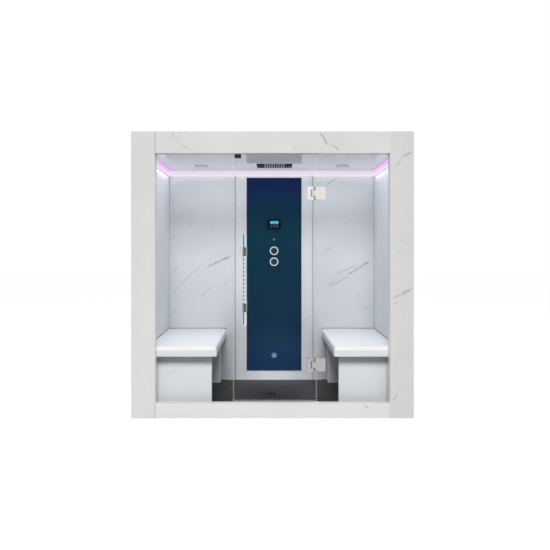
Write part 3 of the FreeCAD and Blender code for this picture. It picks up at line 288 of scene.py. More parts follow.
LINING_VEINS = [
    ((-0.617, 1.077), (-0.376, 1.188), 0.009, 0.95),
    ((-0.939, 1.012), (-0.850, 1.104), 0.005, 0.50),
    ((-0.931, 0.827), (-0.653, 1.116), 0.005, 0.50),
    ((-0.952, 1.330), (-0.872, 1.383), 0.005, 0.40),
    ((-0.580, 1.525), (-0.518, 1.578), 0.004, 0.30),
    ((-0.660, 0.799), (-0.553, 0.915), 0.006, 0.55),
    ((-0.473, 0.897), (-0.376, 0.995), 0.005, 0.45),
    ((-0.926, 0.649), (-0.846, 0.724), 0.005, 0.45),
    ((0.448, 1.197), (0.572, 1.272), 0.005, 0.45),
    ((0.501, 1.836), (0.625, 1.933), 0.008, 0.50),
    ((0.510, 0.915), (0.643, 1.012), 0.004, 0.40),
    ((0.519, 0.897), (0.714, 1.012), 0.006, 0.60),
    ((0.599, 1.019), (0.785, 1.113), 0.006, 0.60),
    ((0.670, 1.459), (0.741, 1.530), 0.005, 0.50),
    ((0.687, 1.012), (0.914, 1.139), 0.008, 0.85),
    ((0.692, 0.533), (0.736, 0.564), 0.005, 0.40),
    ((0.776, 0.790), (0.829, 0.853), 0.005, 0.50),
    ((0.829, 0.675), (0.918, 0.746), 0.005, 0.50),
]
LEG_VEINS = [
    ((0.651, 0.140), (0.687, 0.097), 0.006, 0.50),
    ((-0.800, 0.300), (-0.700, 0.360), 0.004, 0.30),
]


def plain_panel(name, pale, shade, roughness, grain, relief, specular=0.5, uneven=0.1):
    """Painted or moulded panel with faint mottling and a fine surface relief."""
    finish = Finish(name)
    mottle = finish.noise(3.0, 4.0)
    colour = finish.mixed(mottle, pale, shade)
    gloss = finish.noise(grain * 0.3, 2.0) * uneven + roughness
    skin = finish.bump(finish.noise(grain, 2.0), 0.15, relief)
    return finish.surface(base_color=colour, roughness=gloss, normal=skin, specular_ior_level=specular)


def bench_slab():
    """White solid surface with a painted highlight along the rounded front edge, and painted shade deepening
    towards the wall and on the front face.
    """
    finish = Finish("bench_slab")
    _, y, z = finish.place()
    flat_front = -0.53
    edge_top = 0.5165
    face_top = 0.4915
    # Painted shade: deeper from the front edge back towards the wall
    depth = (y - flat_front).clamped()
    painted_wall_shade = depth * (depth * 0.5 + 0.5)
    # Painted highlight on the rounded front edge, then painted shade on the front face below it
    edge = z.below(edge_top, 250.0)
    face = z.below(face_top, 333.0)
    mottle = finish.noise(3.0, 4.0)
    near = finish.mixed(mottle, (0.955, 0.965, 0.97), (0.93, 0.945, 0.955))
    ground = finish.mixed(painted_wall_shade, near, (0.635, 0.66, 0.68))
    with_painted_highlight = finish.mixed(edge, ground, (0.90, 0.91, 0.92))
    colour = finish.mixed(face, with_painted_highlight, (0.80, 0.815, 0.83))
    gloss = finish.noise(18.0, 2.0) * 0.1 + 0.28
    skin = finish.bump(finish.noise(60.0, 2.0), 0.15, 0.0004)
    return finish.surface(base_color=colour, roughness=gloss, normal=skin)


def charcoal_board():
    """Dark deck board with streaks along its length."""
    finish = Finish("charcoal_board")
    streaks = finish.noise(1.0, 5.0, finish.scaled((2.2, 70.0, 70.0)), 0.6)
    broad = finish.noise(1.0, 2.0, finish.scaled((1.2, 9.0, 9.0)))
    colour = finish.ramp(streaks * 0.7 + broad * 0.3, [
        (0.36, (0.008, 0.008, 0.008)),
        (0.50, (0.023, 0.023, 0.022)),
        (0.64, (0.060, 0.059, 0.056)),
    ])
    y = finish.place()[1]
    boards_middle = -0.042
    joint_reach = 0.173
    joints = (1.0 - abs(abs(y - boards_middle) - joint_reach) * 120.0).clamped()
    relief = finish.bump(streaks, 0.25, 0.0006)
    shaded = finish.mixed(joints * 0.85, colour, (0.004, 0.004, 0.004))
    return finish.surface(base_color=shaded, roughness=streaks * 0.2 + 0.42, normal=relief)


def timber():
    """Planed softwood of the hidden frames."""
    finish = Finish("timber")
    grain = finish.noise(1.0, 5.0, finish.scaled((30.0, 30.0, 3.0)), 0.6, 0.6)
    colour = finish.ramp(grain, [
        (0.30, (0.36, 0.20, 0.09)),
        (0.55, (0.55, 0.36, 0.19)),
        (0.75, (0.66, 0.47, 0.27)),
    ])
    relief = finish.bump(grain, 0.3, 0.0008)
    return finish.surface(base_color=colour, roughness=grain * 0.2 + 0.5, normal=relief)


# Metal finishes
def metal(name, pale, shade, roughness, brushed=(25.0, 25.0, 25.0), relief=0.0):
    """Metal with a slightly uneven polish, or brush marks where stretched."""
    finish = Finish(name)
    marks = finish.noise(1.0, 4.0, finish.scaled(brushed), 0.6)
    colour = finish.mixed(marks, pale, shade)
    gloss = marks * 0.12 + roughness
    marked = finish.bump(marks, 0.2, relief)
    return finish.surface(base_color=colour, metallic=1.0, roughness=gloss, normal=marked)


# Glass and clear plastic
def clear_glass():
    """Toughened glass: nearly clear faces, paler, greener polished edges and a painted reflection that
    thickens at glancing angles.
    """
    finish = Finish("clear_glass")
    front = finish.facing()[1]
    edge = (1.0 - abs(front) * 1.6).clamped()
    film = finish.noise(2.5, 3.0) * 0.0012
    # Painted reflection: the glass turns more opaque and pale towards glancing angles
    painted_sheen = finish.node("ShaderNodeLayerWeight", None, {"Blend": 0.12})("Fresnel")
    colour = finish.mixed(edge, (0.80, 0.86, 0.85), (0.82, 0.87, 0.86))
    gloss = finish.noise(30.0, 2.0) * 0.02 + 0.02
    cover = (edge * 0.15 + film + painted_sheen * 0.2).clamped()
    return finish.surface(base_color=colour, roughness=gloss, alpha=cover, ior=1.5)


def clear_seal():
    """Soft clear profile, a little milky, with faint drawn lines."""
    finish = Finish("clear_seal")
    drawn = finish.noise(1.0, 3.0, finish.scaled((160.0, 160.0, 3.0)))
    colour = finish.mixed(drawn, (0.80, 0.82, 0.84), (0.68, 0.70, 0.73))
    return finish.surface(base_color=colour, roughness=drawn * 0.2 + 0.25, alpha=drawn * 0.07 + 0.06)


def glass_gasket():
    """White silicone in the slots of the surround, clear along the doorway."""
    finish = Finish("glass_gasket")
    x, _, z = finish.place()
    door_middle = 0.013
    door_reach = 0.345
    door_foot = 0.112
    door_top = 1.964
    sharp = 200.0
    doorway = abs(x - door_middle).below(door_reach, sharp)
    upright = z.beyond(door_foot, sharp) * z.below(door_top, sharp)
    drawn = finish.noise(1.0, 3.0, finish.scaled((160.0, 160.0, 3.0)))
    colour = finish.mixed(drawn, (0.86, 0.86, 0.86), (0.80, 0.80, 0.81))
    cover = 1.0 - doorway * upright * 0.91
    return finish.surface(base_color=colour, roughness=drawn * 0.2 + 0.3, alpha=cover)


def console_tint():
    """Back-painted console glass: navy at the top, teal above the middle, blue below."""
    finish = Finish("console_tint")
    z = finish.place()[2]
    low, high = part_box("console_glass")
    drift = (finish.noise(1.3, 3.0) - 0.5) * 0.125
    height = (z - low[2]) / (high[2] - low[2]) + drift
    colour = finish.ramp(height, [
        (0.02, (0.0090, 0.0325, 0.0855)),
        (0.30, (0.0055, 0.0310, 0.0675)),
        (0.52, (0.0030, 0.0275, 0.0525)),
        (0.74, (0.0028, 0.0355, 0.0600)),
        (0.95, (0.0035, 0.0155, 0.0675)),
    ])
    gloss = finish.noise(18.0, 2.0) * 0.04 + 0.05
    return finish.surface(base_color=colour, roughness=gloss, specular_ior_level=0.04)


# Lights and displays of the room
def light_diffuser():
    """Glowing strip: pink along the side walls, lilac white along the back."""
    finish = Finish("light_diffuser")
    _, y, z = finish.place()
    low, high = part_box("light_diffuser")
    rear_start = 0.430
    rear = y.beyond(rear_start, 40.0)
    uneven = finish.noise(6.0, 2.0)
    drop = ((high[2] - z) / (high[2] - low[2])).clamped()
    pink = finish.mixed(drop, (0.61, 0.25, 0.62), (0.67, 0.55, 0.70))
    white = finish.mixed(drop, (0.58, 0.53, 0.66), (0.66, 0.60, 0.67))
    glow = finish.mixed(rear, pink, white)
    return finish.surface(base_color=(0.30, 0.28, 0.31), roughness=uneven * 0.1 + 0.4,
                          emission_color=glow, emission_strength=1.0)


def frosted_lens():
    """Frosted lamp cover with a fine pearl texture."""
    finish = Finish("frosted_lens")
    pearl = finish.noise(220.0, 2.0)
    colour = finish.mixed(pearl, (0.78, 0.76, 0.82), (0.88, 0.87, 0.92))
    relief = finish.bump(pearl, 0.3, 0.0005)
    return finish.surface(base_color=colour, roughness=pearl * 0.2 + 0.45, normal=relief,
                          emission_color=colour, emission_strength=0.12)


def controller_screen():
    """Lit display: a cyan field with a row of level bars and a fine cell grid."""
    finish = Finish("controller_screen")
    x, _, z = finish.place()
    sharp = 900.0
    field_x, field_half_x = 0.0235, 0.0365
    field_z, field_half_z = 1.4985, 0.0110
    bars_x, bars_half_x = 0.032, 0.022
    bars_z, bars_half_z = 1.4975, 0.0045
    bar_start, bar_pitch = -0.018, 0.010
    pale_start = 0.044
    margin = x.within(field_x, field_half_x, sharp) * z.within(field_z, field_half_z, sharp)
    column = (abs((x - bar_start).modulo(bar_pitch) - bar_pitch / 2) * 400.0 - 0.9).clamped()
    row = z.within(bars_z, bars_half_z, 1500.0)
    bars = (1.0 - column) * row * x.within(bars_x, bars_half_x, sharp)
    cells = finish.noise(900.0, 1.0) * 0.12
    field = finish.mixed(cells, (0.035, 0.62, 0.80), (0.10, 0.80, 0.90))
    lit = finish.mixed(bars * 0.55, field, (0.01, 0.22, 0.34))
    paler = finish.mixed(x.beyond(pale_start, 60.0) * 0.18, lit, (0.85, 0.95, 1.0))
    glow = finish.mixed(margin, (0.0005, 0.002, 0.020), paler)
    return finish.surface(base_color=(0.001, 0.002, 0.012), roughness=cells + 0.25, specular_ior_level=0.0,
                          emission_color=glow, emission_strength=1.0)


def key_glow():
    """Touch key mark, lit from behind."""
    finish = Finish("key_glow")
    mottle = finish.noise(500.0, 2.0)
    glow = finish.mixed(mottle, (0.50, 0.72, 1.0), (0.42, 0.64, 0.92))
    return finish.surface(base_color=(0.40, 0.52, 0.70), roughness=mottle * 0.1 + 0.4,
                          emission_color=glow, emission_strength=0.45)


def reach_from(first, second):
    """Distance from two offsets at right angles."""
    return (first ** 2.0 + second ** 2.0) ** 0.5


def outlet_cap():
    """Steel steam outlet cap with a paler middle and a dark outer edge."""
    finish = Finish("outlet_cap")
    x, _, z = finish.place()
    cap_x, cap_z = 0.022, 0.272
    face_radius = 0.0255
    middle_radius = 0.0095
    sharp = 400.0
    reach = reach_from(x - cap_x, z - cap_z)
    face = reach.below(face_radius, sharp)
    middle = reach.below(middle_radius, sharp)
    mottle = finish.noise(60.0, 2.0)
    steel = finish.mixed(mottle, (0.17, 0.22, 0.30), (0.14, 0.19, 0.26))
    bright = finish.mixed(middle, steel, (0.40, 0.46, 0.54))
    colour = finish.mixed(face, (0.010, 0.030, 0.065), bright)
    return finish.surface(base_color=colour, roughness=mottle * 0.1 + 0.3, specular_ior_level=0.1)


def from_knob(finish):
    """Distance from the axis of the nearer of the two knobs."""
    x, _, z = finish.place()
    knob_x, _, upper = middle_of("upper_knob")
    lower = middle_of("lower_knob")[2]
    return reach_from(x - knob_x, abs(z - (upper + lower) / 2) - (upper - lower) / 2)


def knob_cap():
    """Near-black knob with a greyer rim, a painted highlight."""
    finish = Finish("knob_cap")
    rim_start = 0.0185
    # Painted highlight on the knob's rim
    rim = from_knob(finish).beyond(rim_start, 400.0)
    grain = finish.noise(420.0, 2.0)
    dark = finish.mixed(grain, (0.018, 0.021, 0.027), (0.028, 0.032, 0.040))
    colour = finish.mixed(rim, dark, (0.072, 0.088, 0.108))
    return finish.surface(base_color=colour, roughness=grain * 0.1 + 0.34, specular_ior_level=0.12)


def knob_ring():
    """Polished ring round a knob, with painted shade along its inner and outer edges."""
    finish = Finish("knob_ring")
    inner_radius = 0.0300
    outer_radius = 0.0398
    sharp = 600.0
    reach = from_knob(finish)
    face = reach.below(outer_radius, sharp) * reach.beyond(inner_radius, sharp)
    polish = finish.noise(60.0, 2.0)
    bright = finish.mixed(polish, (0.74, 0.87, 0.97), (0.62, 0.77, 0.88))
    # Painted shade inside and outside the ring's bright band
    colour = finish.mixed(face, (0.030, 0.055, 0.085), bright)
    return finish.surface(base_color=colour, metallic=1.0, roughness=polish * 0.1 + 0.12)


# Door fittings
def clamp_band():
    """Handle clamp with a dark band between satin edges."""
    finish = Finish("clamp_band")
    x = finish.place()[0]
    band_left = -0.2182
    band_right = -0.1961
    sharp = 600.0
    band = x.beyond(band_left, sharp) * x.below(band_right, sharp)
    grain = finish.noise(120.0, 2.0)
    dark = finish.mixed(grain, (0.130, 0.125, 0.115), (0.110, 0.106, 0.098))
    colour = finish.mixed(band, (0.40, 0.42, 0.45), dark)
    return finish.surface(base_color=colour, roughness=grain * 0.1 + 0.35, specular_ior_level=0.2)


def hinge_steel(name, pale, shade, gap_share):
    """Satin hinge leaf with a darker tongue, a painted darker reflection on the lower hinge and painted shade
    in the gaps round the tongue.
    """
    finish = Finish(name)
    x, _, z = finish.place()
    middle = sum(HINGE_HEIGHTS) / 2
    spread = (HINGE_HEIGHTS[1] - HINGE_HEIGHTS[0]) / 2
    tongue_half = 0.0262
    gap_start = 0.0225
    tip_end = 0.2928
    tongue_end = 0.3180
    leaf_start = 0.3220
    sharp = 900.0
    drop = abs(abs(z - middle) - spread)
    level = drop.below(tongue_half, sharp)
    tongue = level * x.below(tongue_end, sharp)
    ends = tongue * drop.beyond(gap_start, sharp)
    tip = level * x.below(tip_end, sharp)
    side = (1.0 - level) * x.below(leaf_start, sharp)
    painted_gap_shade = ends.larger(tip).larger(side)
    satin = finish.noise(1.0, 4.0, finish.scaled((6.0, 6.0, 260.0)), 0.6)
    brushed = finish.mixed(satin, pale, shade)
    toned = finish.mixed(tongue * gap_share, brushed, (0.68, 0.675, 0.65))
    # Painted reflection: the lower hinge greyer, as it mirrors darker surroundings
    lower = finish.mixed(z.below(middle, 9.0), toned, (0.45, 0.44, 0.46))
    # Painted shade in the gaps round the tongue
    colour = finish.mixed(painted_gap_shade * gap_share, lower, (0.06, 0.06, 0.06))
    return finish.surface(base_color=colour, metallic=1.0, roughness=satin * 0.12 + 0.22)


# Marble slopes: one way on the front, the other inside
SLOPE_FRONT = math.radians(-48.0)
SLOPE_INSIDE = math.radians(38.0)

# Stone tones as pale, cloud and line
FRONT_TONES = ((0.67, 0.67, 0.66), (0.61, 0.61, 0.605), (0.30, 0.30, 0.285))
# Sill: the front stone made paler, painted light from the floor below
SILL_LIT_TONES = ((0.90, 0.90, 0.895), (0.86, 0.86, 0.855), (0.38, 0.38, 0.36))
# Right post: the front stone a shade darker, painted shade, and paler towards its foot, painted light
RIGHT_SHADED_TONES = ((0.63, 0.63, 0.625), (0.575, 0.575, 0.57), (0.29, 0.29, 0.275))
LINING_TONES = ((0.65, 0.675, 0.70), (0.585, 0.61, 0.645), (0.25, 0.27, 0.30))
# Side walls: the lining stone made paler, painted light
SIDE_LIT_TONES = ((0.675, 0.715, 0.755), (0.61, 0.65, 0.70), (0.25, 0.27, 0.30))
LEG_TONES = ((0.825, 0.855, 0.885), (0.775, 0.805, 0.84), (0.34, 0.36, 0.39))

finishes = {
    # Front cladding: painted light from the floor, paler towards the foot of the posts
    "marble_cladding": marble("marble_cladding", FRONT_TONES, FRONT_VEINS, SLOPE_FRONT,
                              roughness=0.32, painted_foot_share=0.95),
    "sill_marble": marble("sill_marble", SILL_LIT_TONES, FRONT_VEINS, SLOPE_FRONT,
                          roughness=0.32),
    "marble_lining": marble("marble_lining", LINING_TONES, LINING_VEINS, SLOPE_INSIDE,
                            roughness=0.28),
    # Back wall beside the column: darker and bluer towards the foot, painted shade
    "back_marble": marble("back_marble", LINING_TONES, LINING_VEINS, SLOPE_INSIDE,
                          roughness=0.28, painted_foot_share=0.55, painted_foot_tone=PAINTED_FOOT_SHADE),
    "side_marble": marble("side_marble", SIDE_LIT_TONES, LINING_VEINS, SLOPE_INSIDE,
                          roughness=0.28),
    "right_marble": marble("right_marble", RIGHT_SHADED_TONES, FRONT_VEINS, SLOPE_FRONT,
                           roughness=0.32, painted_foot_share=0.68),
    "clear_glass": clear_glass(),
    "clear_seal": clear_seal(),
    "stop_rubber": plain_panel("stop_rubber", (0.075, 0.076, 0.068), (0.055, 0.056, 0.050),
                               roughness=0.55, grain=260.0, relief=0.0004, specular=0.12),
    "satin_steel": metal("satin_steel", (0.78, 0.77, 0.75), (0.69, 0.68, 0.66),
                         roughness=0.22, brushed=(6.0, 6.0, 260.0), relief=0.0002),
    "chrome": metal("chrome", (0.90, 0.90, 0.91), (0.82, 0.83, 0.85),
                    roughness=0.04),
    "dark_metal": metal("dark_metal", (0.085, 0.078, 0.066), (0.055, 0.050, 0.043),
                        roughness=0.32, brushed=(40.0, 40.0, 220.0), relief=0.0002),
    "probe_steel": metal("probe_steel", (0.24, 0.42, 0.58), (0.19, 0.35, 0.49),
                         roughness=0.25),
    "copper_pipe": metal("copper_pipe", (0.82, 0.42, 0.27), (0.62, 0.27, 0.16),
                         roughness=0.22),
    "brass": metal("brass", (0.78, 0.58, 0.28), (0.62, 0.44, 0.19),
                   roughness=0.24),
    "aluminium_channel": metal("aluminium_channel", (0.80, 0.80, 0.82), (0.70, 0.70, 0.73),
                               roughness=0.25, brushed=(4.0, 4.0, 180.0), relief=0.0002),
    "generator_case": metal("generator_case", (0.72, 0.72, 0.72), (0.60, 0.60, 0.61),
                            roughness=0.28, brushed=(5.0, 200.0, 200.0), relief=0.0003),
    "shower_dark": plain_panel("shower_dark", (0.008, 0.007, 0.020), (0.013, 0.011, 0.028),
                               roughness=0.35, grain=200.0, relief=0.0002, specular=0.12),
    "tray_white": plain_panel("tray_white", (0.78, 0.79, 0.80), (0.72, 0.73, 0.75),
                              roughness=0.3, grain=90.0, relief=0.0006),
    "ceiling_gloss": plain_panel("ceiling_gloss", (0.84, 0.84, 0.87), (0.80, 0.80, 0.83),
                                 roughness=0.01, grain=3.0, relief=0.0001, specular=0.08, uneven=0.02),
    "white_panel": plain_panel("white_panel", (0.78, 0.78, 0.78), (0.73, 0.73, 0.735),
                               roughness=0.36, grain=420.0, relief=0.0003),
    "black_plastic": plain_panel("black_plastic", (0.0005, 0.001, 0.016), (0.001, 0.002, 0.022),
                                 roughness=0.3, grain=500.0, relief=0.0001, specular=0.0),
    "keypad": plain_panel("keypad", (0.0005, 0.001, 0.020), (0.001, 0.002, 0.026),
                          roughness=0.3, grain=600.0, relief=0.0001, specular=0.0),
    "knob_black": knob_cap(),
    "nozzle_pale": plain_panel("nozzle_pale", (0.80, 0.80, 0.86), (0.72, 0.72, 0.78),
                               roughness=0.45, grain=300.0, relief=0.0002),
    "key_glow": key_glow(),
    "sealant_grey": plain_panel("sealant_grey", (0.38, 0.38, 0.40), (0.43, 0.43, 0.45),
                                roughness=0.4, grain=120.0, relief=0.0004),
    "joint_grey": plain_panel("joint_grey", (0.11, 0.11, 0.12), (0.16, 0.16, 0.17),
                              roughness=0.4, grain=120.0, relief=0.0004),
    "charcoal_board": charcoal_board(),
    "timber": timber(),
    "console_tint": console_tint(),
    "light_diffuser": light_diffuser(),
    "frosted_lens": frosted_lens(),
    "screen": controller_screen(),
    "outlet_cap": outlet_cap(),
    "glass_gasket": glass_gasket(),
    "bench_slab": bench_slab(),
    "knob_ring": knob_ring(),
    "clamp_band": clamp_band(),
    "hinge_steel": hinge_steel("hinge_steel", (0.81, 0.80, 0.79), (0.75, 0.745, 0.73),
                               gap_share=0.9),
    "hinge_bright": hinge_steel("hinge_bright", (0.86, 0.86, 0.87), (0.80, 0.80, 0.81),
                                gap_share=0.0),
    "bar_steel": metal("bar_steel", (0.64, 0.71, 0.75), (0.60, 0.67, 0.71),
                       roughness=0.06),
    "bezel_pale": plain_panel("bezel_pale", (0.40, 0.40, 0.43), (0.34, 0.34, 0.37),
                              roughness=0.25, grain=300.0, relief=0.0003),
    "grip_black": plain_panel("grip_black", (0.020, 0.019, 0.017), (0.032, 0.030, 0.027),
                              roughness=0.5, grain=300.0, relief=0.0003, specular=0.12),
    # Bench legs with a painted shadow under the slab
    "leg_marble": marble("leg_marble", LEG_TONES, LEG_VEINS, SLOPE_INSIDE,
                         roughness=0.28, painted_shadow_share=0.55),
}

# Every solid takes the finish of its slot, unless it has a shade of its own
own_shades = {
    "front_sill": "sill_marble",
    "right_front_post": "right_marble",
    "left_wall_lining": "side_marble",
    "right_wall_lining": "side_marble",
    "back_left_lining": "back_marble",
    "back_right_lining": "back_marble",
    "drain_grate": "dark_metal",
    "steam_outlet": "outlet_cap",
    "glass_seals": "glass_gasket",
    "left_bench_slab": "bench_slab",
    "right_bench_slab": "bench_slab",
    "left_bench_legs": "leg_marble",
    "right_bench_legs": "leg_marble",
    "shower_nozzle_plate": "shower_dark",
    "temperature_probe": "probe_steel",
    "downlight_bezels": "bezel_pale",
    "knob_rings": "knob_ring",
    "handle_clamps": "clamp_band",
    "outer_handle_bar": "bar_steel",
    "inner_handle_bar": "bar_steel",
    "hinge_fixed_leaves": "hinge_steel",
    "hinge_door_leaves": "hinge_bright",
}
for part in frame["record"]["subparts"]:
    mesh = nodes[part["node"]].data
    finish = finishes[own_shades.get(part["node"], part["material_slot"])]
    if not mesh.materials:
        mesh.materials.append(finish)
    for index in range(len(mesh.materials)):
        mesh.materials[index] = finish


# Repeated small pieces
class Recipe(Graph):
    """A geometry tree over a few starting points, with its sizes as named inputs."""

    def __init__(self, name, points, edges=(), turns=None):
        super().__init__(bpy.data.node_groups.new(name, "GeometryNodeTree"))
        self.tree.interface.new_socket("Result", in_out="OUTPUT", socket_type="NodeSocketGeometry")
        self.tree.interface.new_socket("Start", in_out="INPUT", socket_type="NodeSocketGeometry")
        self.name = name
        self.sizes = {}
        self.start_mesh = bpy.data.meshes.new(name)
        self.start_mesh.from_pydata(points, edges, [])
        if turns:
            stored = self.start_mesh.attributes.new("turn", "FLOAT_VECTOR", "POINT")
            for item, turn in zip(stored.data, turns):
                item.vector = turn

    def start(self):
        return self.node("NodeGroupInput")("Start")

    def size(self, name, value):
        """A named input of the tree, and the value that the piece gives it."""
        socket = self.tree.interface.new_socket(name, in_out="INPUT", socket_type="NodeSocketFloat")
        self.sizes[socket.identifier] = value
        return self.node("NodeGroupInput")(name)

    def turn(self):
        """Rotation kept at each starting point."""
        stored = self.node("GeometryNodeInputNamedAttribute", {"data_type": "FLOAT_VECTOR"}, {"Name": "turn"})
        return self.node("FunctionNodeEulerToRotation", None, {0: stored("Attribute")})("Rotation")

    def tapered(self, sides, foot, tip, height):
        """Low many-sided head; gives its mesh and its top face."""
        sockets = {"Vertices": sides, "Radius Bottom": foot, "Radius Top": tip, "Depth": height}
        return self.node("GeometryNodeMeshCone", None, sockets)

    def recessed(self, head, share, depth):
        """Sink the middle of a head's top face."""
        rim = self.extruded(head("Mesh"), head("Top"), 0.0)
        sockets = {"Geometry": rim("Mesh"), "Selection": rim("Top"), "Scale": share}
        drawn_in = self.node("GeometryNodeScaleElements", None, sockets)("Geometry")
        return self.extruded(drawn_in, rim("Top"), 0.0 - depth)("Mesh")

    def extruded(self, mesh, faces, rise):
        """Raise or sink the chosen faces as one."""
        sockets = {"Mesh": mesh, "Selection": faces, "Offset Scale": rise, "Individual": False}
        return self.node("GeometryNodeExtrudeMesh", None, sockets)

    def repeated(self, shape):
        """One copy of a shape at each starting point."""
        sockets = {"Points": self.start(), "Instance": shape, "Rotation": self.turn()}
        return self.node("GeometryNodeInstanceOnPoints", None, sockets)("Instances")

    def made(self, geometry, finish, body, slot):
        """Turn the tree's result into a plain mesh piece that moves with a body."""
        whole = self.node("GeometryNodeRealizeInstances", None, {0: geometry})("Geometry")
        dressed = self.node("GeometryNodeSetMaterial", None, {"Geometry": whole, "Material": finish})
        self.node("NodeGroupOutput", None, {0: dressed("Geometry")})
        piece = bpy.data.objects.new(self.name, self.start_mesh)
        bpy.context.collection.objects.link(piece)
        modifier = piece.modifiers.new(self.name, "NODES")
        modifier.node_group = self.tree
        for identifier, value in self.sizes.items():
            modifier[identifier] = value
        evaluated = piece.evaluated_get(bpy.context.evaluated_depsgraph_get())
        mesh = bpy.data.meshes.new_from_object(evaluated)
        piece.modifiers.remove(modifier)
        piece.data = mesh
        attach(piece, body)


# Turns that point a head, made along +Z, another way
UP = (0.0, 0.0, 0.0)
DOWN = (math.pi, 0.0, 0.0)
FRONT = (math.pi / 2, 0.0, 0.0)
REAR = (-math.pi / 2, 0.0, 0.0)
LEFT = (0.0, -math.pi / 2, 0.0)
RIGHT = (0.0, math.pi / 2, 0.0)


def heads(name, points, turns, finish, body, slot, radius, height, socket_depth):
    """Low round heads with a sunk middle, one at each point."""
    sides = 12
    tip_share = 0.8
    sunk_share = 0.5
    recipe = Recipe(name, points, turns=turns)
    foot = recipe.size("Head radius", radius)
    tall = recipe.size("Head height", height)
    sunk = recipe.size("Socket depth", socket_depth)
    head = recipe.recessed(recipe.tapered(sides, foot, foot * tip_share, tall), sunk_share, sunk)
    recipe.made(recipe.repeated(head), finishes[finish], body, slot)


def spaced(low, high, most):
    """Even places from low to high, at most a given step apart."""
    steps = max(1, math.ceil((high - low) / most))
    return [low + (high - low) * index / steps for index in range(steps + 1)]


def around(low_u, high_u, low_v, high_v, most):
    """Places round a rectangle, in its own two directions."""
    places = [(u, v) for u in spaced(low_u, high_u, most) for v in (low_v, high_v)]
    return places + [(u, v) for v in spaced(low_v, high_v, most)[1:-1] for u in (low_u, high_u)]


def panel_screws():
    """Round-headed screws along the edges of the outer skins, the rear cover and the roof."""
    margin = 0.03
    step = 0.32
    points = []
    turns = []
    outer = {"left_outer_skin": LEFT, "right_outer_skin": RIGHT, "rear_cover": REAR, "roof_panel": UP}
    for node, turn in outer.items():
        low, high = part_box(node)
        if turn in (LEFT, RIGHT):
            x = low[0] if turn == LEFT else high[0]
            ring = around(low[1] + margin, high[1] - margin, low[2] + margin, high[2] - margin, step)
            found = [(x, y, z) for y, z in ring]
        elif turn == REAR:
            ring = around(low[0] + margin, high[0] - margin, low[2] + margin, high[2] - margin, step)
            found = [(x, high[1], z) for x, z in ring]
        else:
            ring = around(low[0] + margin, high[0] - margin, low[1] + margin, high[1] - margin, step)
            found = [(x, y, high[2]) for x, y in ring]
        points += found
        turns += [turn] * len(found)
    heads("panel_screws", points, turns, "satin_steel", "room", "satin_steel",
          radius=0.0055, height=0.0022, socket_depth=0.0012)


def hinge_screws(name, node, body):
    """Two socket screws in the inner face of each clamp plate of a hinge leaf."""
    inner_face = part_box(node)[1][1]
    middle = middle_of(node)[0]
    spread = 0.026
    points = [(middle, inner_face, z + side * spread) for z in HINGE_HEIGHTS for side in (-1, 1)]
    heads(name, points, [REAR] * len(points), "satin_steel", body, "satin_steel",
          radius=0.0058, height=0.0016, socket_depth=0.0012)


panel_screws()
hinge_screws("fixed_hinge_screws", "hinge_fixed_clamps", "room")
hinge_screws("door_hinge_screws", "hinge_door_clamps", "door")


def nozzle_columns():
    """Even places across the shower head's plate."""
    low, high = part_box("shower_nozzle_plate")
    inset = 0.014
    pitch = 0.0205
    return spaced(low[0] + inset, high[0] - inset, pitch)


def shower_nozzles():
    """Pale soft nozzles in rows under the shower head."""
    low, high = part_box("shower_nozzle_plate")
    front_inset = 0.007
    rear_inset = 0.014
    pitch = 0.020
    rows = spaced(low[1] + front_inset, high[1] - rear_inset, pitch)
    points = [(x, y, low[2]) for x in nozzle_columns() for y in rows]
    turns = [DOWN] * len(points)
    heads("shower_nozzles", points, turns, "nozzle_pale", "room", "nozzle_grey",
          radius=0.0044, height=0.005, socket_depth=0.001)


def key_marks():
    """A pale ring on each touch key."""
    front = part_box("controller_keypad")[0][1]
    middle = middle_of("controller_keypad")[0]
    field = 0.0742
    rows = (1.4561, 1.4739)
    keys_across = 6
    columns = [middle + field * (index / (keys_across - 1) - 0.5) for index in range(keys_across)]
    points = [(x, front, z) for x in columns for z in rows]
    heads("key_marks", points, [FRONT] * len(points), "key_glow", "room", "keypad",
          radius=0.0021, height=0.0004, socket_depth=0.0002)


def handle_inlay():
    """Dark grip studs along one edge of both handle bars, in short rows between the clamps."""
    inset = 0.0094
    end_margin = 0.012
    pitch = 0.0075
    rows_reach = 0.20
    points = []
    turns = []
    for node, turn in (("outer_handle_bar", FRONT), ("inner_handle_bar", REAR)):
        low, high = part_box(node)
        y = low[1] if turn == FRONT else high[1]
        heights = spaced(low[2] + end_margin, high[2] - end_margin, pitch)
        ends = [z for z in heights if abs(z - middle_of(node)[2]) > rows_reach]
        rows = [z for index, z in enumerate(heights) if z not in ends and index % 4 < 2]
        found = [(low[0] + inset, y, z) for z in ends + rows]
        points += found
        turns += [turn] * len(found)
    heads("handle_inlay", points, turns, "grip_black", "door", "stop_rubber",
          radius=0.0042, height=0.0008, socket_depth=0.0003)


def beads(name, runs, radius, finish, slot):
    """Round beads along runs of points."""
    points = []
    edges = []
    for run in runs:
        edges += [(len(points) + index, len(points) + index + 1) for index in range(len(run) - 1)]
        points += run
    recipe = Recipe(name, points, edges)
    size = recipe.size("Bead radius", radius)
    line = recipe.node("GeometryNodeMeshToCurve", None, {"Mesh": recipe.start()})("Curve")
    ring = recipe.node("GeometryNodeCurvePrimitiveCircle", None, {"Resolution": 8, "Radius": size})("Curve")
    sockets = {"Curve": line, "Profile Curve": ring, "Fill Caps": True}
    bead = recipe.node("GeometryNodeCurveToMesh", None, sockets)("Mesh")
    recipe.made(bead, finishes[finish], "room", slot)


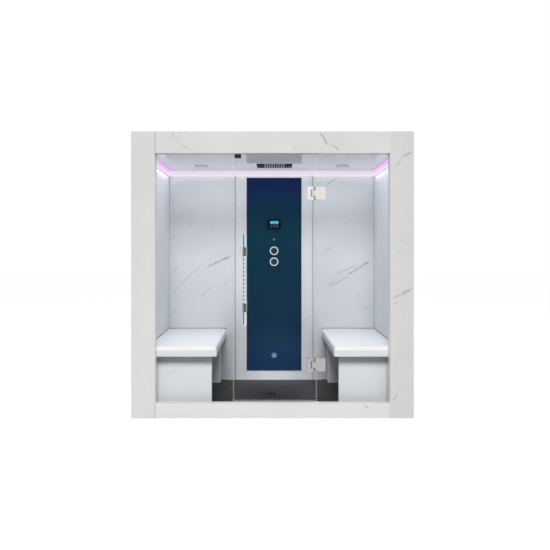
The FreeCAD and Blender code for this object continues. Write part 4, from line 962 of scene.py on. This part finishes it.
def surround_joints():
    """Fine filled joints where the header and the sill meet the left post; those on the right are tight."""
    runs = []
    for node in ("front_header", "front_sill"):
        low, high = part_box(node)
        runs.append([(low[0], low[1], low[2]), (low[0], low[1], high[2])])
    beads("surround_joints", runs, 0.0014, "joint_grey", "stop_rubber")


def shower_ribs():
    """Pale ribs over the front lip of the shower head, in line with its nozzles."""
    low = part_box("shower_head")[0]
    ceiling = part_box("ceiling_panel")[0][2]
    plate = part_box("shower_nozzle_plate")[0][1]
    runs = [[(x, low[1], ceiling), (x, low[1], low[2]), (x, plate, low[2])] for x in nozzle_columns()]
    beads("shower_ribs", runs, 0.0036, "nozzle_pale", "nozzle_grey")


def sealant_beads():
    """Grey sealant beads in the corners of the walls, round the column and along the benches and floor; their
    grey is also painted shade of these corners and gaps.
    """
    radius = 0.0042
    aside = 0.004
    column_low, column_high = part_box("column_lining")
    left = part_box("left_wall_lining")[1][0]
    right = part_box("right_wall_lining")[0][0]
    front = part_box("left_bench_slab")[0][1]
    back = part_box("back_left_lining")[0][1]
    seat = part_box("left_bench_slab")[1][2]
    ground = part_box("rear_floor_board")[1][2]
    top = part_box("light_channel")[0][2]
    runs = [[(x, back, seat), (x, back, top)] for x in (left, right)]
    column_sides = (column_low[0] - aside, column_high[0] + aside)
    runs += [[(x, back, ground), (x, back, top)] for x in column_sides]
    beads("wall_sealant", runs, radius, "sealant_grey", "stop_rubber")
    edges_x = (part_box("left_bench_slab")[1][0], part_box("right_bench_slab")[0][0])
    runs = [[(column_low[0], column_low[1], ground), (column_high[0], column_low[1], ground)]]
    for wall, edge in zip((left, right), edges_x):
        runs.append([(wall, front, seat), (wall, back, seat), (edge, back, seat)])
        runs.append([(wall, front, ground), (wall, back, ground), (edge, back, ground)])
    # Near-black beads along the benches and floor: sealant whose dark tone is also painted shade in these
    # creases
    beads("bench_sealant", runs, radius, "joint_grey", "stop_rubber")


shower_nozzles()
key_marks()
handle_inlay()
shower_ribs()
surround_joints()
sealant_beads()


# Studio
def seen_directly(finish):
    """One for rays from the camera, a reflection or a refraction, else zero."""
    path = finish.node("ShaderNodeLightPath")
    return (path("Is Camera Ray") + path("Is Glossy Ray") + path("Is Transmission Ray")).clamped()


# Share of the backdrop's light that falls on the part, and colours of the lamps
WORLD_LIGHT = 0.21
WHITE = (1.0, 1.0, 1.0)
COOL = (0.97, 0.98, 1.0)
WARM = (1.0, 0.98, 0.99)
LILAC = (1.0, 0.94, 1.0)

sky = Finish("studio_sky", bpy.data.worlds.new("studio_sky"))
level = seen_directly(sky) * (1.0 - WORLD_LIGHT) + WORLD_LIGHT
backdrop = {"Color": (*WHITE, 1.0), "Strength": level}
background = sky.node("ShaderNodeBackground", None, backdrop)("Background")
sky.node("ShaderNodeOutputWorld", None, {"Surface": background})
bpy.context.scene.world = sky.material

ground = Finish("studio_floor")
speckle = ground.mixed(ground.noise(4.0, 3.0), (0.60, 0.60, 0.60), (0.64, 0.64, 0.64))
matt = ground.node("ShaderNodeBsdfDiffuse", None, {"Color": speckle})("BSDF")
glow = ground.node("ShaderNodeEmission", None, {"Color": (*WHITE, 1.0), "Strength": 1.2})("Emission")
cover = seen_directly(ground) * 0.8
both = ground.node("ShaderNodeMixShader", None, {0: cover, 1: matt, 2: glow})("Shader")
ground.node("ShaderNodeOutputMaterial", None, {"Surface": both})

HALF_FLOOR = 20.0
FLOOR_LEVEL = -0.001
signs = ((-1, -1), (1, -1), (1, 1), (-1, 1))
corners = [(x * HALF_FLOOR, y * HALF_FLOOR, FLOOR_LEVEL) for x, y in signs]
floor_mesh = bpy.data.meshes.new("studio_floor")
floor_mesh.from_pydata(corners, [], [(0, 1, 2, 3)])
floor_mesh.materials.append(ground.material)
floor = bpy.data.objects.new("studio_floor", floor_mesh)
bpy.context.collection.objects.link(floor)


def soft_lamp(name, place, aim, colour, width, depth, power, spread=180.0):
    """Rectangular soft lamp turned towards a point and not seen itself."""
    lamp = bpy.data.lights.new(name, "AREA")
    lamp.shape = "RECTANGLE"
    lamp.size = width
    lamp.size_y = depth
    lamp.energy = power
    lamp.color = colour
    lamp.spread = math.radians(spread)
    made = bpy.data.objects.new(name, lamp)
    made.location = place
    made.rotation_euler = (Vector(aim) - Vector(place)).to_track_quat("-Z", "Y").to_euler()
    made.visible_camera = False
    made.visible_glossy = False
    bpy.context.collection.objects.link(made)


soft_lamp("front_lamp", (0.0, -6.0, 5.0), (0.0, 0.0, 0.8), WHITE,
          width=2.4, depth=1.7, power=340.0)
soft_lamp("room_lamp", (0.0, -0.08, 1.955), (0.0, -0.08, 0.0), COOL,
          width=1.8, depth=0.85, power=7.5, spread=176.0)
soft_lamp("aisle_lamp", (0.02, -0.40, 1.20), (0.02, 0.46, 0.06), COOL,
          width=0.3, depth=0.1, power=0.5, spread=34.0)
soft_lamp("ceiling_bounce", (0.02, -0.05, 1.60), (0.02, -0.05, 1.98), WARM,
          width=1.4, depth=0.7, power=0.58)

# Lamps that reach only the sides, the back and the roof
for place in ((-6.0, 2.0, 4.0), (6.0, 2.0, 4.0), (0.0, 6.0, 4.5)):
    soft_lamp("outer_lamp", place, (0.0, 0.3, 1.0), WHITE,
              width=2.4, depth=2.0, power=115.0)

# Spill of the light strip: slanting onto the back wall, straight down the side walls
SPILL_HEIGHT = 1.921
SPILL_WIDTH = 0.012
for x, y, width in ((-0.637, 0.447, 0.58), (0.022, 0.435, 0.70), (0.660, 0.447, 0.54)):
    place = (x, y, SPILL_HEIGHT)
    aim = (x, y + 1.0, SPILL_HEIGHT - 1.0)
    soft_lamp("rear_spill", place, aim, LILAC,
              width=width, depth=SPILL_WIDTH, power=width * 0.10)
for x in (-0.931, 0.931):
    place = (x, -0.04, SPILL_HEIGHT)
    aim = (x, -0.04, 0.0)
    soft_lamp("side_spill", place, aim, LILAC,
              width=SPILL_WIDTH, depth=0.95, power=0.28)

# Camera at the photograph's place
camera_data = bpy.data.cameras.new("camera")
camera_data.sensor_width = 36.0
camera_data.lens = 38.8
camera_data.shift_x = 0.0119
camera_data.shift_y = -0.051
camera_data.clip_end = 100.0
camera = bpy.data.objects.new("camera", camera_data)
camera.location = (-0.030, -5.025, 1.272)
camera.rotation_euler = (math.radians(90.0), 0.0, 0.0)
bpy.context.collection.objects.link(camera)
bpy.context.scene.camera = camera
bpy.context.scene.view_settings.view_transform = "Standard"
